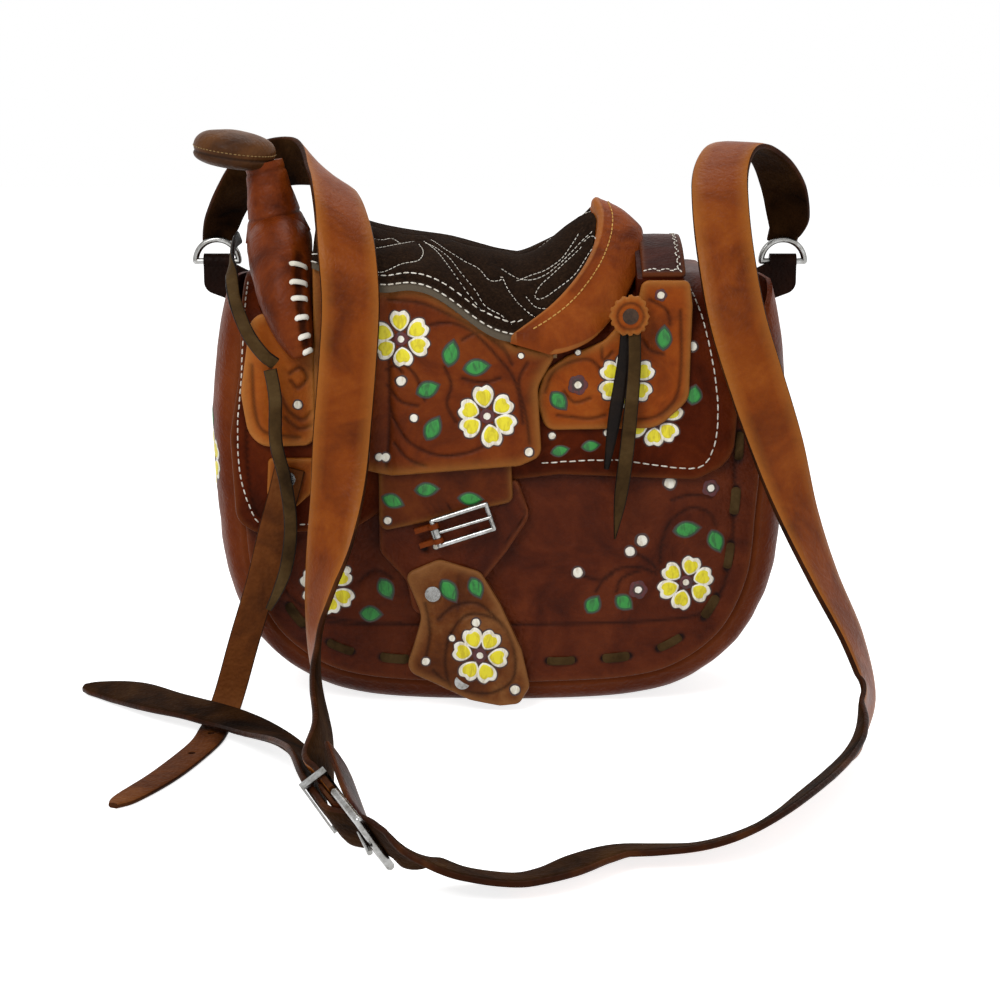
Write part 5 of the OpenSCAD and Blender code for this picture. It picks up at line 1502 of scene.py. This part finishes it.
# Front thong: tied round the fork, looped over the jockey and left hanging. The rear
# pair hangs from the rosette, one strand darker than the other.
THONG = 6.0
THONG_THICK = 1.8
dark_thong = leather("dark_thong", (10, 6, 4), (20, 12, 8), (40, 28, 18), 1.4, 0.4, 0.5)
thong_skins = [olive_lace, dark_thong, dark_thong]
LOOP_ROUTE = (
    ((-122.4, 2, 216), (0, 1, 0.2), THONG), ((-123, -16, 214), (0, 0.6, 0.8), THONG),
    ((-122.2, -34, 206), (0, 0.8, 0.6), THONG), ((-119.5, -50.5, 194), (0.2, 0.8, 0.6), THONG),
    ((-113, -60.5, 180), (0.9, 0, 0.4), THONG), ((-106, -61, 170), (0.8, 0, 0.5), THONG),
    ((-101, -58.5, 165.5), (0.8, 0, 0.5), THONG))
FRONT_THONG_ROUTE = (
    ((-103, -60.6, 163), (1, 0, 0.1), THONG), ((-101, -60.8, 150), (1, 0, 0), THONG),
    ((-101, -61, 130), (1, 0, 0.1), THONG), ((-97, -61.5, 112), (1, 0, 0.1), THONG),
    ((-95, -61.5, 92), (1, 0, 0), THONG), ((-97, -61.5, 74), (1, 0, -0.2), THONG),
    ((-101, -61, 62), (1, 0, -0.4), THONG - 1), ((-106, -60, 52), (1, 0, -0.5), THONG - 3))
strip("front_thong_loop_leather", LOOP_ROUTE, THONG_THICK, 10, "flap", thong_skins, 0.2, -1,
      ("front_thong_loop",))
strip("front_thong_leather", FRONT_THONG_ROUTE, THONG_THICK, 10, "front_thong", thong_skins, 0.2, -1,
      ("front_thong",))
THONG_Y = -51.4
DARK_ROUTE = ((57.5, 1, 192, THONG), (56.5, 1, 170, THONG), (52, 1.2, 140, THONG), (48.5, 1, 116, 2.4))
OLIVE_ROUTE = ((59.5, 3.2, 192, THONG), (60.5, 3.4, 165, THONG), (58, 3.6, 130, THONG + 0.6),
               (55, 3.6, 104, THONG), (52.5, 3.6, 84, 0.9))
rear_pair = [strip(name, [((x, THONG_Y - out, z), (1, 0, 0), wide) for x, out, z, wide in route],
                   THONG_THICK, 12, None, skins, 0.2, -1, pitch=1.2)
             for name, route, skins in (("dark_rear_thong", DARK_ROUTE, [dark_thong] * 3),
                                        ("olive_rear_thong", OLIVE_ROUTE, thong_skins))]
joined("rear_thongs_leather", rear_pair, "rear_thongs", ("rear_thongs",))

ROSETTE_AT = np.array([58.5, 186.5])
ROSETTE_RADIUS = 9.4
ROSETTE_LOBES = 16


def rosette_swell(spots):
    """A low ring inside the rosette's lobes."""
    return 0.3 * np.exp(-((np.linalg.norm(spots - ROSETTE_AT, axis=1) - 7.5) / 1.5) ** 2)


rosette_hide = Hide(round_spot(ROSETTE_AT, ROSETTE_RADIUS, 0.2, ROSETTE_LOBES, 54), facing_front(-57.7), 1.0,
                    (), 0.7, 0.2, rosette_swell)
rosette_hide.lines = [np.array([ROSETTE_AT + (6.0 * math.cos(a), 6.0 * math.sin(a))
                                for a in np.linspace(0, 6.29, 25)])]
rosette_hide.sheet("rosette_leather", warm_hide, "flap", 0.9, ("rosette",), "dark_leather")


# Billet: the long closing strap, rough side out, riveted with a tan tab under the
# front jockey. It hangs to the table and lies there under the strap's tail.
BILLET = 14.0
billet_tab = Hide(rounded([(-106, 120, 2), (-84, 120, 2), (-86, 104, 4), (-95, 96, 5), (-107, 102, 4)]),
                  facing_front(JOCKEY_FACE), swell=crumpled(8, 3.3, 0.2))
billet_tab.sheet("billet_tab_leather", caramel, "flap", 1.0, ("billet_tab",), "tan_leather", rim_width=1.8)
rough_side = leather("rough_side_leather", (70, 34, 8), (104, 56, 18), (126, 76, 34), 2.2, 0.3, 0.7)
BILLET_ROUTE = (
    ((-96, -49.5, 116), (1, 0, 0), BILLET), ((-99, -49.6, 104), (1, 0, 0), BILLET),
    ((-104, -51.5, 86), (1, 0, -0.2), BILLET), ((-110, -53.5, 62), (1, 0, -0.2), BILLET),
    ((-118, -54, 36), (1, 0, -0.2), BILLET), ((-124, -54, 15), (1, 0, -0.2), BILLET),
    ((-127, -56, 5.5), (1, 0.1, -0.1), BILLET), ((-128.5, -62, 1.6), (1, 0, 0), BILLET),
    ((-129.5, -80, 1.2), (1, 0, 0), BILLET), ((-132, -105, 1.2), (1, -0.1, 0), BILLET),
    ((-143, -146, 1.2), (1, -0.3, 0), BILLET), ((-155, -176, 1.2), (1, -0.4, 0), BILLET * 0.85),
    ((-159, -185, 1.2), (1, -0.4, 0), BILLET * 0.35))
billet = strip("billet_strap_leather", BILLET_ROUTE, 2.1, 8, "flap", [rough_side, rough_side, burnished],
               0.15, -1, ("billet_strap",))
PUNCH_SIDES = 20
PUNCH_RADIUS = 1.6
for hole_x, hole_y in ((-130, -90), (-135, -119)):
    rim_of_hole = [(hole_x + PUNCH_RADIUS * math.cos(a), hole_y + PUNCH_RADIUS * math.sin(a))
                   for a in turns_of(PUNCH_SIDES)]
    punch = make("billet_punch", [(x, y, z) for z in (-5, 12) for x, y in rim_of_hole],
                 ring_faces(2, PUNCH_SIDES), [burnished], None)
    cut = billet.modifiers.new("punched", "BOOLEAN")
    cut.object = punch
    cut.solver = "EXACT"
    with bpy.context.temp_override(object=billet, active_object=billet):
        bpy.ops.object.modifier_apply(modifier=cut.name)
    bpy.data.objects.remove(punch)


# Shoulder strap: two caramel straps about 26 mm wide, waxed and creased by wear. The
# long one ends in a narrow tail, rough side out, that runs through buckle and keeper.
STRAP = 26.0
STRAP_THICK = 3.2
STRAP_END = 15.0
TAIL = 22.0
BUCKLE_AT = Vector((-52.5, -253.5, 15.8))
BUCKLE_TURN = Euler([math.radians(a) for a in (14, -33, 19)], "XYZ")
BUCKLE_REACH = 11.0


def at_buckle(run, side=0.0):
    """A point beside the buckle: run is along the strap, side is off the buckle's plane."""
    spot = Vector((side, run, 0))
    spot.rotate(BUCKLE_TURN)
    return tuple(BUCKLE_AT + spot)


across_buckle = Vector((0, 0, 1))
across_buckle.rotate(BUCKLE_TURN)
ACROSS = tuple(across_buckle)
SHORT_ROUTE = [
    ((-138, 50.2, 209.5), (1, 0, 0), STRAP_END), ((-137.8, 48.6, 212.8), (1, 0.1, 0), STRAP_END),
    ((-136.5, 46.5, 215.6), (1, 0.3, 0), STRAP_END + 2), ((-133, 44, 224), (0.7, 0.6, -0.2), STRAP - 5),
    ((-127, 39, 234), (0.4, 0.75, -0.4), STRAP - 1), ((-117, 32, 243.5), (0.15, 0.6, -0.75), STRAP),
    ((-106, 25, 249), (0.1, 0.5, -0.85), STRAP), ((-95, 17, 250.5), (0.15, 0.5, -0.85), STRAP),
    ((-87, 7, 249), (0.3, 0.65, -0.7), STRAP), ((-81, -6, 246.5), (0.5, 0.75, -0.45), STRAP),
    ((-76, -23, 242), (0.65, 0.72, -0.2), STRAP), ((-71.5, -42, 231), (0.85, 0.45, -0.1), STRAP),
    ((-68, -57, 213), (1, 0.12, 0), STRAP), ((-66.5, -62.5, 192), (1, 0, 0), STRAP),
    ((-68, -65.5, 166), (1, 0, 0), STRAP),
    ((-70.5, -68, 138), (1, 0, 0), STRAP), ((-72.5, -71, 112), (0.95, -0.3, 0), STRAP),
    ((-76, -77, 88), (0.8, -0.6, 0), STRAP), ((-79.5, -87, 68), (0.5, -0.85, 0.1), STRAP),
    ((-80.5, -103, 52), (0.22, -0.95, 0.2), STRAP), ((-78.5, -128, 41), (0.05, -0.85, 0.4), STRAP),
    ((-75, -158, 33.5), (-0.2, -0.6, 0.75), STRAP), ((-72, -190, 28.6), (-0.25, -0.25, 0.93), STRAP - 1),
    (at_buckle(44), ACROSS, STRAP - 1), (at_buckle(35), ACROSS, STRAP - 1),
    (at_buckle(26), ACROSS, STRAP - 1), (at_buckle(17), ACROSS, STRAP - 1)]
TURNED_OVER = ((6, -278.5, 5), (0, -1, 0.24), STRAP)
LONG_ROUTE = [
    ((138, 50.2, 209.5), (-1, 0, 0), STRAP_END), ((138.4, 48.6, 212.8), (-1, 0.1, 0), STRAP_END),
    ((139.3, 46, 215.8), (-1, 0.2, 0), STRAP_END + 2), ((139.5, 42.5, 224), (-0.8, 0.5, 0), STRAP - 3),
    ((136, 36, 238), (-0.7, 0.6, 0), STRAP), ((129, 27, 250), (-0.6, 0.7, 0), STRAP),
    ((118, 16, 257.5), (-0.6, 0.7, 0), STRAP), ((108, 4, 257), (-0.8, 0.5, 0), STRAP),
    ((102, -10, 248), (-0.9, 0.3, 0), STRAP), ((100.5, -26, 234), (-1, 0.1, 0), STRAP),
    ((102, -42, 212), (-1, 0, 0), STRAP), ((106.5, -55, 185), (-1, 0, 0), STRAP),
    ((115, -62, 157), (-1, -0.1, 0), STRAP), ((124, -66, 130), (-0.95, -0.3, 0), STRAP),
    ((133.5, -71, 100), (-0.75, -0.65, 0), STRAP), ((145, -78, 72), (-0.55, -0.85, 0), STRAP),
    ((157.5, -86, 46), (-0.4, -0.9, 0), STRAP), ((163.5, -94, 25), (-0.3, -0.95, 0.05), STRAP),
    ((158.5, -114, 14.4), (-0.25, -0.93, 0.28), STRAP), ((151, -138, 11.8), (-0.08, -0.95, 0.36), STRAP),
    ((142.5, -158, 10.4), (0.2, -0.8, 0.48), STRAP), ((132, -180, 9.8), (0.45, -0.65, 0.55), STRAP),
    ((119.5, -204, 9.6), (0.55, -0.52, 0.57), STRAP), ((105, -226, 9), (0.5, -0.6, 0.52), STRAP),
    ((90, -240, 7.6), (0.4, -0.8, 0.42), STRAP), ((76, -246, 6), (0.2, -0.9, 0.32), STRAP),
    ((60, -247, 5.2), (0.05, -1, 0.26), STRAP), ((46, -248, 5), (0.1, -1, 0.24), STRAP),
    ((34, -257, 5), (0.4, -0.9, 0.24), STRAP), ((21, -271, 5), (0.3, -0.9, 0.24), STRAP),
    TURNED_OVER, ((-12, -281, 8), (-0.15, -0.95, 0.27), STRAP),
    ((-27.5, -280, 13.2), (-0.33, -0.85, 0.36), STRAP - 1), (at_buckle(-21, 5), ACROSS, STRAP - 3),
    (at_buckle(-11, 3.4), ACROSS, STRAP - 4), (at_buckle(0, -0.6), ACROSS, STRAP - 4),
    (at_buckle(11, -6), ACROSS, TAIL), (at_buckle(24, -6), ACROSS, TAIL),
    (at_buckle(36, -6), ACROSS, TAIL), ((-79, -190, 18), (-0.48, -0.35, 0.75), TAIL),
    ((-84, -163, 15), (-0.6, -0.45, 0.6), TAIL), ((-92, -134, 11), (-0.7, -0.55, 0.4), TAIL),
    ((-104, -109, 8.2), (-0.75, -0.6, 0.15), TAIL), ((-119, -88, 7.2), (-0.75, -0.62, 0), TAIL),
    ((-137, -74, 8), (-0.7, -0.65, -0.04), TAIL), ((-156, -57, 6.8), (-0.65, -0.75, -0.1), TAIL),
    ((-177, -32, 4.2), (-0.55, -0.83, -0.12), TAIL),
    ((-193, -22, 3.2), (-0.5, -0.85, -0.12), TAIL * 0.6),
    ((-199, -20, 2.8), (-0.5, -0.85, -0.12), TAIL * 0.25)]
strap_skins = [caramel, flesh_side, burnished]
strip("short_strap_leather", SHORT_ROUTE, STRAP_THICK - 0.3, 12, "strap", strap_skins, 0.2, -1,
      ("strap_short",), 0.12)
strip("long_strap_leather", LONG_ROUTE, STRAP_THICK - 0.3, 12, "strap", strap_skins, 0.2, 1,
      ("strap_long",), 0.12, rough_from=LONG_ROUTE.index(TURNED_OVER))
LOOP_R = 2.75
chape_rows = [(at_buckle(run, side), ACROSS, wide) for run, side, wide in (
    (46.8, 10.2, 15), (45.4, 9.9, 20), (42, 9.1, 23), (30, 6.6, 23), (18, 4.1, 23))]
chape_rows += [(at_buckle(BUCKLE_REACH - LOOP_R * math.sin(a), LOOP_R * math.cos(a)), ACROSS, 22.5)
               for a in np.linspace(0, math.pi, 9)]
chape_rows += [(at_buckle(run, -LOOP_R), ACROSS, 23) for run in (17, 24)]
strip("strap_turned_end", chape_rows, 1.9, 5, "strap", [dark_hide, flesh_side, burnished], 0.15, 1,
      ("strap_chape",), pitch=0.9)


# Hinge leather: the flap's back edge is sewn to the bag by a strip of leather. It isn't
# in the photograph, and follows how such flaps are sewn.
hinge_line = smooth_line(((42.9, 168), (42.9, 184), (44.2, 196), (47.2, 201.2), (44.5, 203.3), (36, 203.4),
                          (24, 203.2)), 10)
hinge_run = run_along(hinge_line)
hinge_lean = tangents(hinge_line)


def over_hinge(spots, out):
    x, v = spots[:, 0], spots[:, 1]
    y, z, run_y, run_z = (np.interp(v, hinge_run, c) for c in (*hinge_line.T, *hinge_lean.T))
    return np.column_stack([x, y + run_z * out, z - run_y * out])


hinge_end = float(hinge_run[-1])
hinge_strip = Hide(rounded([(-90, 1, 6), (90, 1, 6), (88, hinge_end - 1, 4), (-88, hinge_end - 1, 4)]),
                   over_hinge, 1.6, swell=crumpled(14, 6.1, 0.15))
hinge_piece = hinge_strip.sheet("flap_hinge_leather", brown_hide, None, 1.6, slot="brown_leather")
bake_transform(hinge_piece)
sewn("hinge_stitching", hinge_strip, [(-86, 4), (-40, 4), (40, 4), (86, 4)], "root", 3.6, 2.8)


# Metal and hidden parts: nickel-plated rings, buckles, keeper, rivets and horn post,
# dulled and scratched, small leathers that keep their solids, and the wooden tree.
plated, dye = new_skin("nickel_plate")
haze = dye.noise(180.0, 5.0, 0.7)
scratches = dye.noise(260.0, 3.0, 0.6, 0.4, (1.0, 6.0, 1.0))
shade = dye.ramp(haze, (0.25, srgb(84, 78, 68)), (0.55, srgb(160, 160, 158)), (0.8, srgb(204, 204, 204)))
dye.surface({"Base Color": shade, "Metallic": 1.0, "Roughness": haze * 0.25 + 0.12,
             "Normal": dye.bump(scratches, 0.25, 0.0002)})
browned, dye = new_skin("browned_rivet")
haze = dye.noise(300.0, 4.0, 0.7)
dye.surface({"Base Color": dye.ramp(haze, (0.3, srgb(30, 20, 14)), (0.7, srgb(72, 52, 38))), "Metallic": 0.7,
             "Roughness": haze * 0.3 + 0.25})
wood, dye = new_skin("tree_wood")
grain = dye.noise(60.0, 5.0, 0.6, 0.5, (0.3, 2.0, 2.0))
dye.surface({"Base Color": dye.ramp(grain, (0.3, srgb(120, 84, 50)), (0.7, srgb(184, 146, 100))),
             "Roughness": grain * 0.2 + 0.6, "Normal": dye.bump(grain, 0.4, 0.0004)})

METAL_NODES = ("tab_rivets", "horn_post", "billet_rivet", "fender_buckle", "fender_buckle_tongue",
               "stirrup_rivets",
               "d_ring_left", "d_ring_right", "strap_buckle", "strap_buckle_tongue", "strap_keeper")
tab_hide = leather("ring_tab_hide", (16, 7, 4), (36, 18, 11), (60, 32, 18), 1.2, 1.0, 0.45, wax=0.04)
FINISHES = dict.fromkeys(METAL_NODES, plated)
FINISHES.update({"rosette_rivet": browned, "ring_tab_left": tab_hide, "ring_tab_right": tab_hide,
                 "inner_pocket": flesh_side, "buckle_loop": brown_hide, "cantle_core": dark_hide,
                 "saddle_tree": wood, "fork_core": wood})
for node_name, node_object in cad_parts.items():
    if node_name in FINISHES:
        node_object.data.materials.clear()
        node_object.data.materials.append(FINISHES[node_name])
